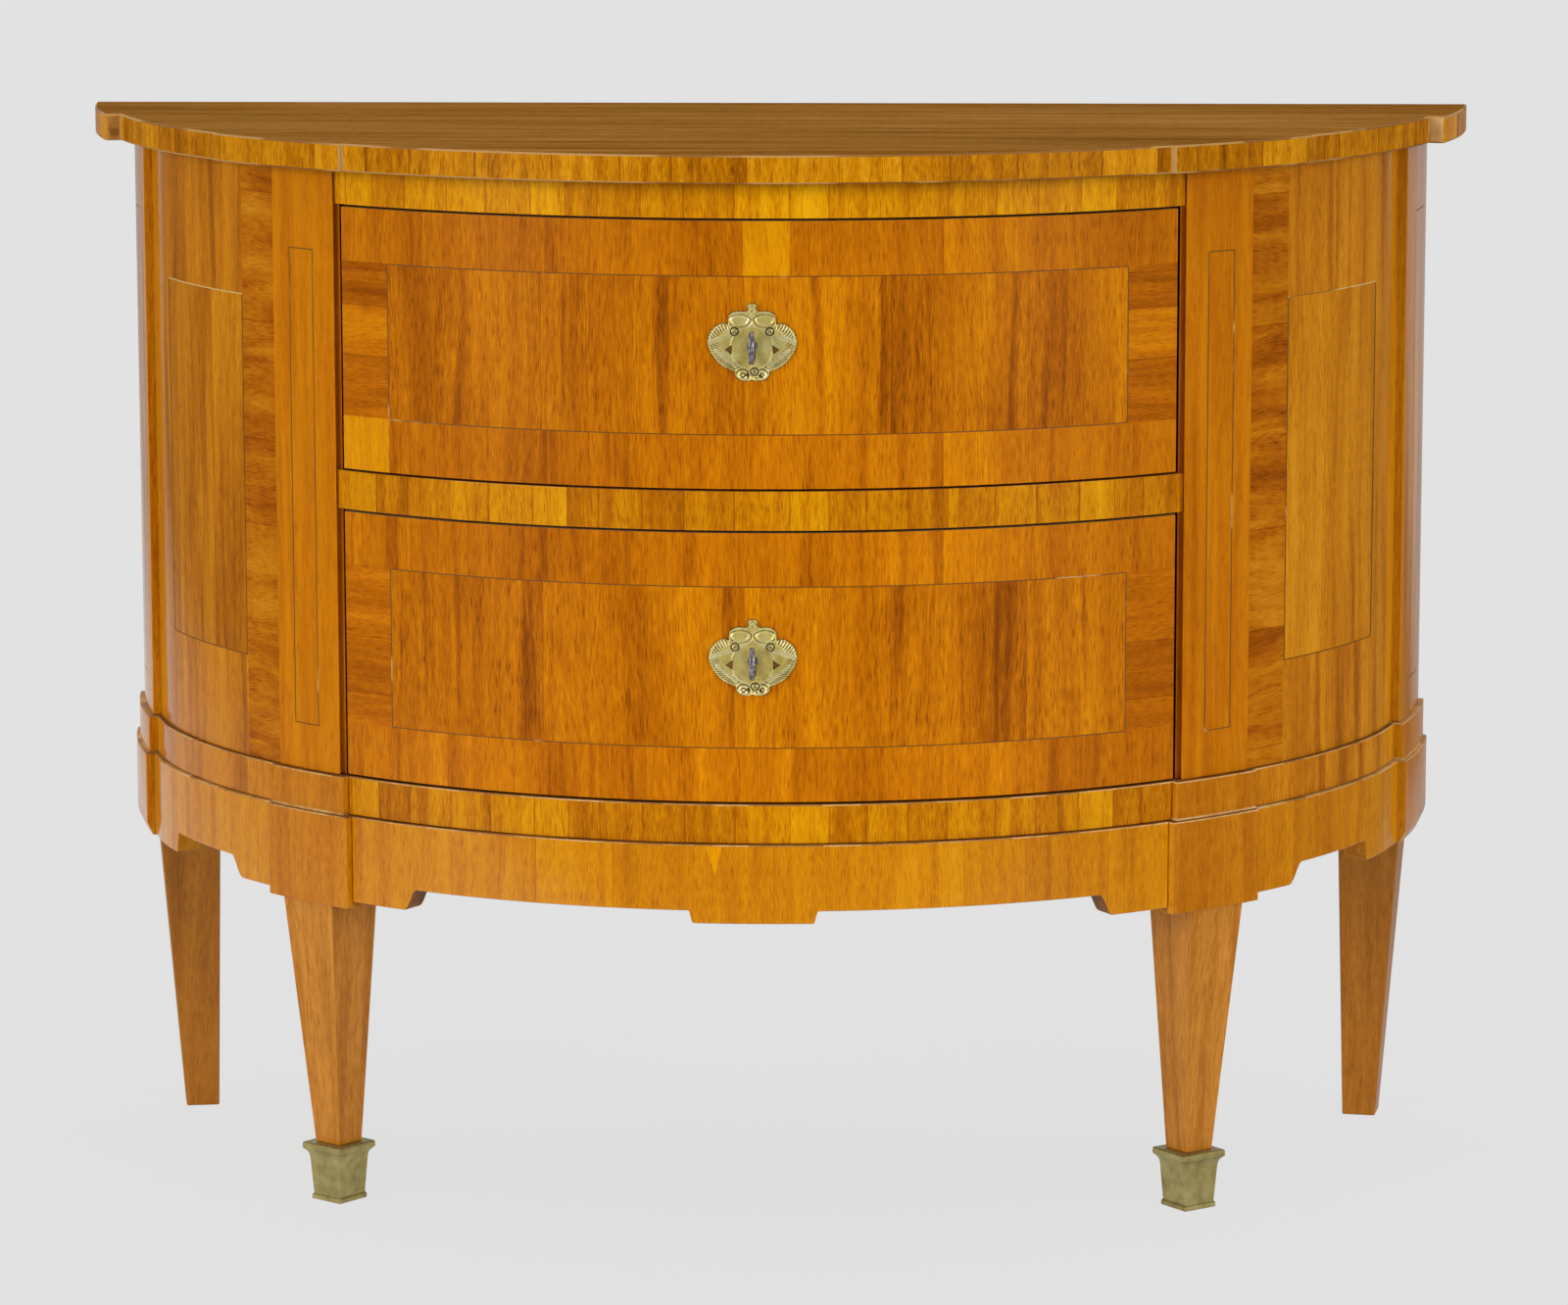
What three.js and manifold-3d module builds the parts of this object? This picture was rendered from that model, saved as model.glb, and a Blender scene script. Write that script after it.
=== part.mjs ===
// Demilune chest of drawers: a bowed case with two drawers, on a stepped base
// with shaped aprons and four square tapered legs, the front two in brass shoes.
// Millimetres, +Z up, front towards -Y. The origin is on the floor, under the
// middle of the outline, and the wall stands at the back of the case.

import * as THREE from 'three';
import { mergeVertices } from 'three/addons/utils/BufferGeometryUtils.js';
import Module from 'manifold-3d';

const wasm = await Module();
wasm.setup();

// Plan of the bow: one arc, struck from a centre behind the wall
const bowRadius = 545;
const bowCentreBehindWall = 45;
const boardOverhang = 24;
const rearBreakOverhang = 37;
const rearBreakDepth = 105;
const stileBreakProjection = 3.5;
const stileBreakInnerMargin = 7;
const stileBreakOuterMargin = 49;

// Heights, from the floor up
const legHeight = 253;
const legBlockHeight = 75;
const bandHeight = 31.5;
const lowerOpeningHeight = 215.5;
const middleRailHeight = 31;
const upperOpeningHeight = 211.5;
const topRailHeight = 28.5;
const boardThickness = 22;

// Clearances
const seatGap = 0.3;
const cutOverrun = 5;
const arcStep = THREE.MathUtils.degToRad(2.5);
const roundSides = 16;

// Front stiles, with a strip set back beside the drawers
const openingHalfAngle = THREE.MathUtils.degToRad(37.4);
const stripWidth = 5;
const stileFaceWidth = 52;
const stileProjection = 3;
const stripSetback = 3;
const postDepth = 45;

// Rear pilasters
const pilasterDepth = 90;
const pilasterProjection = 4;

// Curved side panels and the back
const panelThickness = 18;
const backThickness = 10;
const backRebate = 3;

// Rails between the stiles
const railDepth = 55;
const railEarThickness = 2.7;

// Band above the aprons
const bandProjection = 4;
const centreBandProjection = 1.5;
const blockBandProjection = 8;
const blockBandInset = 3;

// Leg blocks and aprons
const blockProjection = 11.5;
const blockInnerMargin = 1;
const blockOuterMargin = 12;
const blockLedge = 17;
const apronProjection = 7.5;
const centreApronProjection = 5.5;
const apronThickness = 21.5;
const apronRise = 22;
const bracketRise = 5;
const centreBracketLength = 53;
const centreBracketSlope = 11.5;
const sideBracketLength = 44;
const sideBracketSlope = 16;
const rearBracketLength = 110;
const rearBracketSlope = 1;
const tabHalfWidth = 50.5;
const tabSlope = 3.5;
const tabRise = 12;

// Rear leg blocks
const rearBlockMargin = 3;
const rearBandProjection = 4.5;
const rearBlockProjection = 7.5;
const rearBlockLedge = 14;
const rearBlockRise = 4;
const rearChamferHeight = 13;
const rearChamferWidth = 6.5;
const backRailThickness = 20;

// Front legs, turned square to the bow at the stiles
const frontLegTopHalf = 25.5;
const frontLegFootHalf = 13.2;
const frontLegInset = 3.5;
const frontFootShift = 5.5;
const shoeTenonHalf = 12;
const legDowelRadius = 11;
const legDowelLength = 30;

// Rear legs, square to the wall
const rearLegInset = 7;
const rearLegTopWidth = 52;
const rearLegTopDepth = 55;
const rearLegFootShift = 8.5;
const rearLegFootWidth = 26.5;
const rearLegFootDepth = 28;
const rearLegSetback = 2;

// Brass shoes: base moulding, tapered cup, cavetto and cap moulding
const shoeHeight = 48;
const shoeFloor = 3;
const shoeBaseHalf = 15.8;
const shoeBaseHeight = 3.6;
const shoeBaseStep = 1.4;
const shoeNeckHalf = 14.7;
const shoeCupHalf = 16.8;
const shoeCupHeight = 37;
const shoeCapHalf = 21;
const shoeCapHeight = 41.5;
const shoeCapEdge = 1.4;

// Boards inside the case
const bottomBoardThickness = 15;
const dustBoardThickness = 8;
const runnerThickness = 15.5;
const runnerMargin = 19;
const runnerWidth = 36;
const guideWidth = 10;
const guideHeight = 12;
const stopX = 120;
const stopWidth = 40;
const stopHeight = 6;
const stopDepth = 14;

// Drawers
const frontThickness = 24;
const frontEdgeGap = 1.8;
const drawerSideThickness = 12;
const drawerSideClearance = 2;
const drawerSideDrop = 15;
const drawerBackDrop = 25;
const drawerBackClearance = 12;
const drawerBottomThickness = 6;
const drawerBottomRise = 10;
const grooveDepth = 5;

// Locks, keys and escutcheons, placed on the key's axis
const keyAxisAboveOpening = 113.2;
const plateAboveKey = 2.4;
const plateHalfWidth = 34.3;
const plateHalfHeight = 31;
const plateThickness = 1.6;
const keyholeRadius = 3.2;
const keyholeSlotHalf = 1.7;
const keyholeSlotDrop = 10;
const lockHalfWidth = 34;
const lockBelowKey = 28;
const lockAboveKey = 32;
const lockDepth = 12;
const lockWall = 1.5;
const boltPlateHalfWidth = 15;
const boltPlateBottom = 2;
const boltPlateHeight = 18;
const boltThickness = 4;
const boltBarHalfWidth = 6;
const boltTravel = 8;
const boltTopDrop = 0.5;
const boltSideClearance = 1;
const mortiseClearance = 4;
const keyShankRadius = 2.5;
const keyBitLength = 9;
const keyBitHalfThickness = 1;
const keyBitWidth = 3.2;
const keyCollarRadius = 4;
const keyCollarLength = 2.4;
const keyCollarStandoff = 1.2;
const keyBowHalfHeight = 12.9;
const keyBowLength = 17;
const keyBowWire = 3.4;
const keyBowNeck = 1;
const screwX = 13.7;
const screwAboveCentre = 9;
const footScrewX = 1.8;
const footScrewBelowCentre = 22.2;
const screwHeadRadius = 2.3;
const screwHeadHeight = 1.1;
const screwShankRadius = 1.3;
const screwLength = 9;

// Right half of the escutcheon's outline from top to bottom, in shares of its half sizes
const plateOutlineShares = [
  [0, 1], [0.09, 0.98], [0.125, 0.88], [0.105, 0.77], [0.28, 0.77], [0.44, 0.76],
  [0.53, 0.66], [0.54, 0.52], [0.6, 0.45], [0.78, 0.42], [0.92, 0.25], [0.99, 0.05],
  [0.98, -0.15], [0.89, -0.38], [0.7, -0.57], [0.5, -0.68], [0.34, -0.76], [0.34, -0.87],
  [0.25, -0.96], [0.08, -1], [0, -0.96],
];
const screwPlaces = [
  [-screwX, screwAboveCentre],
  [screwX, screwAboveCentre],
  [footScrewX, -footScrewBelowCentre],
];

// Levels
const blockTop = legHeight + legBlockHeight;
const bandTop = blockTop + bandHeight;
const middleRailBottom = bandTop + lowerOpeningHeight;
const middleRailTop = middleRailBottom + middleRailHeight;
const topRailBottom = middleRailTop + upperOpeningHeight;
const caseTop = topRailBottom + topRailHeight;
const boardTop = caseTop + boardThickness;
const apronBottom = legHeight + apronRise;
const bracketBottom = legHeight + bracketRise;
const tabBottom = legHeight + tabRise;

// Depths
const overallDepth = bowRadius - bowCentreBehindWall + boardOverhang;
const wallY = overallDepth / 2;
const bowCentreY = wallY + bowCentreBehindWall;
const faceY = bowCentreY - bowRadius;
const backPanelFrontY = wallY - backRebate - backThickness;

// Points, arcs and angles of the bow; offset is the distance outside its face
function onBow(offset, angle) {
  const radius = bowRadius + offset;
  return new THREE.Vector2(radius * Math.sin(angle), bowCentreY - radius * Math.cos(angle));
}

function angleAtX(x, offset) {
  return Math.asin(x / (bowRadius + offset));
}

function angleAtDepth(depthFromWall, offset) {
  return Math.acos((bowCentreBehindWall + depthFromWall) / (bowRadius + offset));
}

function stepsBetween(from, to) {
  return Math.max(1, Math.ceil(Math.abs(to - from) / arcStep));
}

function arc(offset, from, to, steps = stepsBetween(from, to)) {
  return Array.from({ length: steps + 1 }, (_, i) => onBow(offset, from + ((to - from) * i) / steps));
}

// An arc across the front with a point on the centre line, out to a given x
function frontArc(offset, x) {
  const angle = angleAtX(x, offset);
  return [...arc(offset, -angle, 0), ...arc(offset, 0, angle).slice(1)];
}

function sector(outer, inner, from, to) {
  return [...arc(outer, from, to), ...arc(inner, to, from)];
}

function sided(points, side) {
  return points.map((point) => new THREE.Vector2(side * point.x, point.y));
}

// Places across the front, from the middle outwards
const openingHalfWidth = bowRadius * Math.sin(openingHalfAngle);
const stileFaceInnerX = openingHalfWidth + stripWidth;
const stileFaceOuterX = stileFaceInnerX + stileFaceWidth;
const blockInnerX = openingHalfWidth - blockInnerMargin;
const blockOuterX = stileFaceOuterX + blockOuterMargin;
const runnerOuterX = openingHalfWidth - runnerMargin;
const runnerInnerX = runnerOuterX - runnerWidth;

const seatAngle = seatGap / bowRadius;
const stileOuterAngle = angleAtX(stileFaceOuterX, 0);
const stileMiddleAngle = angleAtX((stileFaceInnerX + stileFaceOuterX) / 2, 0);
const pilasterAngle = angleAtDepth(pilasterDepth, 0);
const rearBlockAngle = angleAtDepth(pilasterDepth + rearBlockMargin, 0);
const rearPostInnerX = onBow(-postDepth, pilasterAngle).x;
const rearBlockInnerX = rearPostInnerX - rearBlockLedge;

// Solids
function toSolid(geometry) {
  geometry.deleteAttribute('normal');
  geometry.deleteAttribute('uv');
  const merged = mergeVertices(geometry);
  const vertProperties = new Float32Array(merged.getAttribute('position').array);
  const triVerts = new Uint32Array(merged.getIndex().array);
  return new wasm.Manifold(new wasm.Mesh({ numProp: 3, vertProperties, triVerts }));
}

function toGeometry(solid) {
  const mesh = solid.getMesh();
  const geometry = new THREE.BufferGeometry();
  geometry.setAttribute('position', new THREE.BufferAttribute(mesh.vertProperties, mesh.numProp));
  geometry.setIndex(new THREE.BufferAttribute(mesh.triVerts, 1));
  geometry.computeVertexNormals();
  return geometry;
}

function join(...solids) {
  return solids.reduce((whole, solid) => whole.add(solid));
}

function cut(body, ...tools) {
  return tools.reduce((rest, tool) => rest.subtract(tool), body);
}

// A plan outline raised between two levels
function prism(points, low, high) {
  const depth = high - low;
  const geometry = new THREE.ExtrudeGeometry(new THREE.Shape(points), { depth, bevelEnabled: false });
  geometry.translate(0, 0, low);
  return toSolid(geometry);
}

function block(lowX, highX, lowY, highY, lowZ, highZ) {
  const geometry = new THREE.BoxGeometry(highX - lowX, highY - lowY, highZ - lowZ);
  geometry.translate((lowX + highX) / 2, (lowY + highY) / 2, (lowZ + highZ) / 2);
  return toSolid(geometry);
}

function sidedBlock(side, nearX, farX, lowY, highY, lowZ, highZ) {
  const [lowX, highX] = side > 0 ? [nearX, farX] : [-farX, -nearX];
  return block(lowX, highX, lowY, highY, lowZ, highZ);
}

function rod(radius, x, z, frontY, backY) {
  const geometry = new THREE.CylinderGeometry(radius, radius, backY - frontY, roundSides);
  geometry.translate(x, (frontY + backY) / 2, z);
  return toSolid(geometry);
}

function post(radius, centre, lowZ, highZ) {
  const geometry = new THREE.CylinderGeometry(radius, radius, highZ - lowZ, roundSides);
  geometry.rotateX(Math.PI / 2);
  geometry.translate(centre.x, centre.y, (lowZ + highZ) / 2);
  return toSolid(geometry);
}

// An outline in the plane of the drawer fronts, with thickness towards the room
function plate(shape, thickness, backY, z) {
  const geometry = new THREE.ExtrudeGeometry(shape, { depth: thickness, bevelEnabled: false });
  const towardsRoom = new THREE.Matrix4().makeBasis(
    new THREE.Vector3(1, 0, 0),
    new THREE.Vector3(0, 0, 1),
    new THREE.Vector3(0, -1, 0),
  );
  geometry.applyMatrix4(towardsRoom);
  geometry.translate(0, backY, z);
  return toSolid(geometry);
}

// Rings of points joined one to the next, with both ends closed by the same triangles
function skin(rings, cap) {
  const count = rings[0].length;
  const last = (rings.length - 1) * count;
  const indices = cap.flatMap(([a, b, c]) => [a, c, b, last + a, last + b, last + c]);
  for (let ring = 0; ring < rings.length - 1; ring += 1) {
    for (let i = 0; i < count; i += 1) {
      const a = ring * count + i;
      const b = ring * count + ((i + 1) % count);
      indices.push(a, b, b + count, a, b + count, a + count);
    }
  }
  const geometry = new THREE.BufferGeometry();
  geometry.setFromPoints(rings.flat());
  geometry.setIndex(indices);
  return toSolid(geometry);
}

// Like-numbered outlines at rising levels
function loft(levels) {
  const clockwise = THREE.ShapeUtils.isClockWise(levels[0].points);
  const outlines = levels.map(({ points }) => (clockwise ? [...points].reverse() : points));
  const rings = levels.map(({ z }, i) => outlines[i].map(({ x, y }) => new THREE.Vector3(x, y, z)));
  return skin(rings, THREE.ShapeUtils.triangulateShape(outlines[0], []));
}

// A square outline turned about its centre
function square(centre, half, turn) {
  const corners = [[-half, -half], [half, -half], [half, half], [-half, half]];
  const origin = new THREE.Vector2(0, 0);
  return corners.map(([x, y]) => new THREE.Vector2(x, y).rotateAround(origin, turn).add(centre));
}

// A curved board whose lower edge rises and falls between stations of angle and level
function shapedBand(outer, inner, top, stations) {
  const places = [];
  for (let i = 0; i < stations.length - 1; i += 1) {
    const [from, to] = [stations[i], stations[i + 1]];
    const steps = stepsBetween(from.angle, to.angle);
    for (let step = 0; step < steps; step += 1) {
      const share = step / steps;
      places.push({
        angle: THREE.MathUtils.lerp(from.angle, to.angle, share),
        low: THREE.MathUtils.lerp(from.low, to.low, share),
      });
    }
  }
  places.push(stations[stations.length - 1]);
  const rings = places.map(({ angle, low }) => {
    const face = onBow(outer, angle);
    const back = onBow(inner, angle);
    return [
      new THREE.Vector3(back.x, back.y, low),
      new THREE.Vector3(back.x, back.y, top),
      new THREE.Vector3(face.x, face.y, top),
      new THREE.Vector3(face.x, face.y, low),
    ];
  });
  return skin(rings, [[0, 1, 2], [0, 2, 3]]);
}

// Finishes
const finishes = {
  veneer: { color: '#b8701b', roughness: 0.32, metalness: 0 },
  railVeneer: { color: '#c8862a', roughness: 0.32, metalness: 0 },
  topVeneer: { color: '#8c4d1e', roughness: 0.28, metalness: 0 },
  legWood: { color: '#b06a24', roughness: 0.38, metalness: 0 },
  innerWood: { color: '#c7a06a', roughness: 0.7, metalness: 0 },
  brass: { color: '#b39a4e', roughness: 0.35, metalness: 1 },
  steel: { color: '#77716e', roughness: 0.4, metalness: 1 },
};

const chest = new THREE.Group();
chest.name = 'demilune_chest';

function add(name, solid, finish) {
  const mesh = new THREE.Mesh(toGeometry(solid), new THREE.MeshStandardMaterial(finishes[finish]));
  mesh.name = name;
  chest.add(mesh);
}

const sides = [['left', -1], ['right', 1]];

// Top board, breaking forward over the stiles and the rear pilasters
function topBoard() {
  const innerAngle = angleAtX(openingHalfWidth - stileBreakInnerMargin, boardOverhang);
  const outerAngle = angleAtX(stileFaceOuterX + stileBreakOuterMargin, boardOverhang);
  const rearAngle = angleAtDepth(rearBreakDepth, boardOverhang);
  const rightHalf = [
    ...arc(boardOverhang, 0, innerAngle),
    ...arc(boardOverhang + stileBreakProjection, innerAngle, outerAngle),
    ...arc(boardOverhang, outerAngle, rearAngle),
    ...arc(rearBreakOverhang, rearAngle, angleAtDepth(0, rearBreakOverhang)),
  ];
  const leftHalf = sided(rightHalf.slice(1), -1).reverse();
  return prism([...leftHalf, ...rightHalf], caseTop, boardTop);
}

// Front stile: proud face, and a strip set back beside the drawers
function frontStile(side) {
  const stripAngle = angleAtX(openingHalfWidth, -stripSetback);
  const stripEdge = angleAtX(stileFaceInnerX, -stripSetback);
  const faceEdge = angleAtX(stileFaceInnerX, stileProjection);
  const points = [
    onBow(-stripSetback, stripAngle),
    onBow(-stripSetback, stripEdge),
    ...arc(stileProjection, faceEdge, stileOuterAngle),
    onBow(-postDepth, stileOuterAngle),
    onBow(-postDepth, angleAtX(openingHalfWidth, -postDepth)),
  ];
  return prism(sided(points, side), bandTop + seatGap, caseTop - seatGap);
}

// Outline of a rear post: curved outside, its front square to the bow, flat to the wall
function rearPostOutline(projection, frontAngle, innerX) {
  const steps = stepsBetween(frontAngle, angleAtDepth(0, 0));
  return [
    ...arc(projection, frontAngle, angleAtDepth(0, projection), steps),
    new THREE.Vector2(innerX, wallY),
    new THREE.Vector2(innerX, bowCentreY - innerX / Math.tan(frontAngle)),
  ];
}

function rearPilaster(side) {
  const points = rearPostOutline(pilasterProjection, pilasterAngle, rearPostInnerX);
  return prism(sided(points, side), bandTop + seatGap, caseTop - seatGap);
}

function sidePanel(side) {
  const points = sector(0, -panelThickness, stileOuterAngle + seatAngle, pilasterAngle - seatAngle);
  return prism(sided(points, side), bandTop + seatGap, caseTop - seatGap);
}

function backPanel() {
  const halfWidth = rearPostInnerX - seatGap;
  const backY = wallY - backRebate;
  return block(-halfWidth, halfWidth, backPanelFrontY, backY, blockTop + seatGap, caseTop - seatGap);
}

// Bolt centre line: the bar slides behind the drawer front, in line with the mortise above it
const boltBackY = faceY + frontThickness - lockWall - seatGap;
const boltFrontY = boltBackY - boltThickness;

function boltMortise(railBottom) {
  return block(
    -boltBarHalfWidth - boltSideClearance,
    boltBarHalfWidth + boltSideClearance,
    boltFrontY - boltSideClearance,
    boltBackY + boltSideClearance,
    railBottom - cutOverrun,
    railBottom + boltTravel + mortiseClearance,
  );
}

// Rail across the case; its front covers the set-back strips of the stiles
function rail(low, high) {
  const bodyX = openingHalfWidth - seatGap;
  const earX = stileFaceInnerX - seatGap;
  const points = [
    ...frontArc(0, earX),
    onBow(-railEarThickness, angleAtX(earX, -railEarThickness)),
    onBow(-railEarThickness, angleAtX(bodyX, -railEarThickness)),
    ...frontArc(-railDepth, bodyX).reverse(),
    onBow(-railEarThickness, -angleAtX(bodyX, -railEarThickness)),
    onBow(-railEarThickness, -angleAtX(earX, -railEarThickness)),
  ];
  return cut(prism(points, low, high), boltMortise(low));
}

// Band around the case, under the drawers and the side panels
const blockInnerAngle = angleAtX(blockInnerX, blockProjection);
const blockOuterAngle = angleAtX(blockOuterX, blockProjection);
const blockBandInnerAngle = angleAtX(blockInnerX + blockBandInset, blockBandProjection);

function centreBand() {
  const edge = blockBandInnerAngle - seatAngle;
  const face = [...arc(centreBandProjection, -edge, 0), ...arc(centreBandProjection, 0, edge).slice(1)];
  const back = [...arc(-postDepth, edge, 0), ...arc(-postDepth, 0, -edge).slice(1)];
  return prism([...face, ...back], blockTop + seatGap, bandTop);
}

function sideBand(side) {
  const [from, to] = [blockOuterAngle + seatAngle, rearBlockAngle - seatAngle];
  const points = sector(bandProjection, -postDepth, from, to);
  return prism(sided(points, side), blockTop + seatGap, bandTop);
}

// Leg blocks carry the band's corner and the apron's corner in one piece
const frontLegOffset = blockProjection - frontLegInset - frontLegTopHalf;
const frontLegTop = onBow(frontLegOffset, stileMiddleAngle);
const frontLegFoot = onBow(frontLegOffset - frontFootShift, stileMiddleAngle);

function sidedPoint(point, side) {
  return new THREE.Vector2(side * point.x, point.y);
}

function dowelHole(centre) {
  const top = legHeight + legDowelLength + seatGap;
  return post(legDowelRadius + seatGap, centre, legHeight - cutOverrun, top);
}

function frontLegBlock(side) {
  const lower = sector(blockProjection, -postDepth - blockLedge, blockInnerAngle, blockOuterAngle);
  const upper = sector(blockBandProjection, -postDepth, blockBandInnerAngle, blockOuterAngle);
  return cut(
    join(
      prism(sided(lower, side), legHeight, blockTop),
      prism(sided(upper, side), blockTop - cutOverrun, bandTop),
    ),
    dowelHole(sidedPoint(frontLegTop, side)),
  );
}

const rearLegInnerX = rearBlockInnerX + rearLegInset;
const rearLegTop = {
  lowX: rearLegInnerX,
  highX: rearLegInnerX + rearLegTopWidth,
  lowY: wallY - rearLegSetback - rearLegTopDepth,
  highY: wallY - rearLegSetback,
};
const rearLegFoot = {
  lowX: rearLegInnerX + rearLegFootShift,
  highX: rearLegInnerX + rearLegFootShift + rearLegFootWidth,
  lowY: wallY - rearLegSetback - rearLegFootDepth,
  highY: wallY - rearLegSetback,
};
const rearDowelCentre = new THREE.Vector2(
  (rearLegTop.lowX + rearLegTop.highX) / 2,
  (rearLegTop.lowY + rearLegTop.highY) / 2,
);

function rearLegBlock(side) {
  const bottom = legHeight + rearBlockRise;
  const chamferTop = bottom + rearChamferHeight;
  const projection = pilasterProjection + rearBlockProjection;
  const full = rearPostOutline(projection, rearBlockAngle, rearBlockInnerX);
  const narrow = rearPostOutline(projection - rearChamferWidth, rearBlockAngle, rearBlockInnerX);
  const upper = rearPostOutline(pilasterProjection + rearBandProjection, rearBlockAngle, rearPostInnerX);
  return cut(
    join(
      loft([
        { z: bottom, points: sided(narrow, side) },
        { z: chamferTop, points: sided(full, side) },
        { z: blockTop, points: sided(full, side) },
      ]),
      prism(sided(upper, side), blockTop - cutOverrun, bandTop),
    ),
    dowelHole(sidedPoint(rearDowelCentre, side)),
  );
}

// Aprons
function centreApron() {
  const at = (length, low) => ({ angle: length / bowRadius, low });
  const end = blockInnerAngle * bowRadius - seatGap;
  const bracket = end - centreBracketLength;
  const rightHalf = [
    at(tabHalfWidth - tabSlope, tabBottom),
    at(tabHalfWidth, apronBottom),
    at(bracket - centreBracketSlope, apronBottom),
    at(bracket, bracketBottom),
    at(end, bracketBottom),
  ];
  const leftHalf = rightHalf.map(({ angle, low }) => ({ angle: -angle, low })).reverse();
  const stations = [...leftHalf, at(0, tabBottom), ...rightHalf];
  return shapedBand(centreApronProjection, centreApronProjection - apronThickness, blockTop, stations);
}

function sideApron(side) {
  const at = (length, low) => ({ angle: length / bowRadius, low });
  const start = blockOuterAngle * bowRadius + seatGap;
  const end = rearBlockAngle * bowRadius - seatGap;
  const rearBracket = end - rearBracketLength;
  const stations = [
    at(start, bracketBottom),
    at(start + sideBracketLength, bracketBottom),
    at(start + sideBracketLength + sideBracketSlope, apronBottom),
    at(rearBracket - rearBracketSlope, apronBottom),
    at(rearBracket, bracketBottom),
    at(end, bracketBottom),
  ];
  const mirrored = stations.map(({ angle, low }) => ({ angle: -angle, low })).reverse();
  const ordered = side > 0 ? stations : mirrored;
  return shapedBand(apronProjection, apronProjection - apronThickness, blockTop, ordered);
}

function backRail() {
  const halfWidth = rearBlockInnerX - seatGap;
  const front = wallY - backRebate - backRailThickness;
  return block(-halfWidth, halfWidth, front, wallY - backRebate, apronBottom, blockTop);
}

// Legs and shoes
function frontLeg(side) {
  const turn = side * stileMiddleAngle;
  const top = sidedPoint(frontLegTop, side);
  const foot = sidedPoint(frontLegFoot, side);
  const shoulder = shoeHeight + seatGap;
  const taper = loft([
    { z: shoeFloor + seatGap, points: square(foot, shoeTenonHalf, turn) },
    { z: shoulder, points: square(foot, shoeTenonHalf, turn) },
    { z: shoulder, points: square(foot, frontLegFootHalf, turn) },
    { z: legHeight - seatGap, points: square(top, frontLegTopHalf, turn) },
  ]);
  return join(taper, post(legDowelRadius, top, legHeight - cutOverrun, legHeight + legDowelLength));
}

function brassShoe(side) {
  const foot = sidedPoint(frontLegFoot, side);
  const turn = side * stileMiddleAngle;
  const profile = [
    [0, shoeBaseHalf],
    [shoeBaseHeight, shoeBaseHalf],
    [shoeBaseHeight + shoeBaseStep, shoeNeckHalf],
    [shoeCupHeight, shoeCupHalf],
    [shoeCapHeight, shoeCapHalf - shoeCapEdge],
    [shoeCapHeight + shoeCapEdge, shoeCapHalf],
    [shoeHeight - shoeCapEdge, shoeCapHalf],
    [shoeHeight, shoeCapHalf - shoeCapEdge],
  ];
  const cup = loft(profile.map(([z, half]) => ({ z, points: square(foot, half, turn) })));
  const pocket = square(foot, shoeTenonHalf + seatGap, turn);
  return cut(cup, prism(pocket, shoeFloor, shoeHeight + cutOverrun));
}

function rectangle({ lowX, highX, lowY, highY }) {
  const corners = [[lowX, lowY], [highX, lowY], [highX, highY], [lowX, highY]];
  return corners.map(([x, y]) => new THREE.Vector2(x, y));
}

function rearLeg(side) {
  const shoulder = legHeight + rearBlockRise - seatGap;
  const taper = loft([
    { z: 0, points: sided(rectangle(rearLegFoot), side) },
    { z: shoulder, points: sided(rectangle(rearLegTop), side) },
  ]);
  const centre = sidedPoint(rearDowelCentre, side);
  return join(taper, post(legDowelRadius, centre, shoulder - cutOverrun, legHeight + legDowelLength));
}

// Boards inside the case
function bottomBoard() {
  const front = frontArc(-postDepth - seatGap, rearPostInnerX - seatGap);
  const backY = backPanelFrontY - seatGap;
  const points = [
    ...front,
    new THREE.Vector2(rearPostInnerX - seatGap, backY),
    new THREE.Vector2(-rearPostInnerX + seatGap, backY),
  ];
  return prism(points, blockTop + seatGap, blockTop + seatGap + bottomBoardThickness);
}

function dustBoard() {
  const halfWidth = runnerOuterX;
  const top = middleRailTop - runnerThickness - seatGap;
  const backY = backPanelFrontY - seatGap;
  const points = [
    ...frontArc(-railDepth - seatGap, halfWidth),
    new THREE.Vector2(halfWidth, backY),
    new THREE.Vector2(-halfWidth, backY),
  ];
  return prism(points, top - dustBoardThickness, top);
}

// Runner under a drawer side, with a guide beside it
function runner(side, top, frontOffset) {
  const backY = backPanelFrontY - seatGap;
  const strip = (fromX, low, high) => {
    const front = arc(frontOffset, angleAtX(fromX, frontOffset), angleAtX(runnerOuterX, frontOffset));
    const points = [...front, new THREE.Vector2(runnerOuterX, backY), new THREE.Vector2(fromX, backY)];
    return prism(sided(points, side), low, high);
  };
  const bottom = top - runnerThickness;
  return join(
    strip(runnerInnerX, bottom, top),
    strip(runnerOuterX - guideWidth, bottom, top + guideHeight),
  );
}

// Stop on a rail, behind the drawer front
function drawerStop(railTop) {
  const outer = -frontThickness - seatGap;
  const [from, to] = [angleAtX(stopX, outer), angleAtX(stopX + stopWidth, outer)];
  const points = sector(outer, outer - stopDepth, from, to);
  return prism(points, railTop + seatGap, railTop + seatGap + stopHeight);
}

// Drawers
const drawerSideOuterX = runnerOuterX - guideWidth - drawerSideClearance;
const drawerSideInnerX = drawerSideOuterX - drawerSideThickness;
const drawerBackY = backPanelFrontY - drawerBackClearance;
const frontHalfWidth = openingHalfWidth - frontEdgeGap;
const frontBackOffset = -frontThickness - seatGap;

function keyhole(frontY, backY, z) {
  const slotLow = z - keyholeSlotDrop;
  return join(
    rod(keyholeRadius, 0, z, frontY, backY),
    block(-keyholeSlotHalf, keyholeSlotHalf, frontY, backY, slotLow, z),
  );
}

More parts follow.
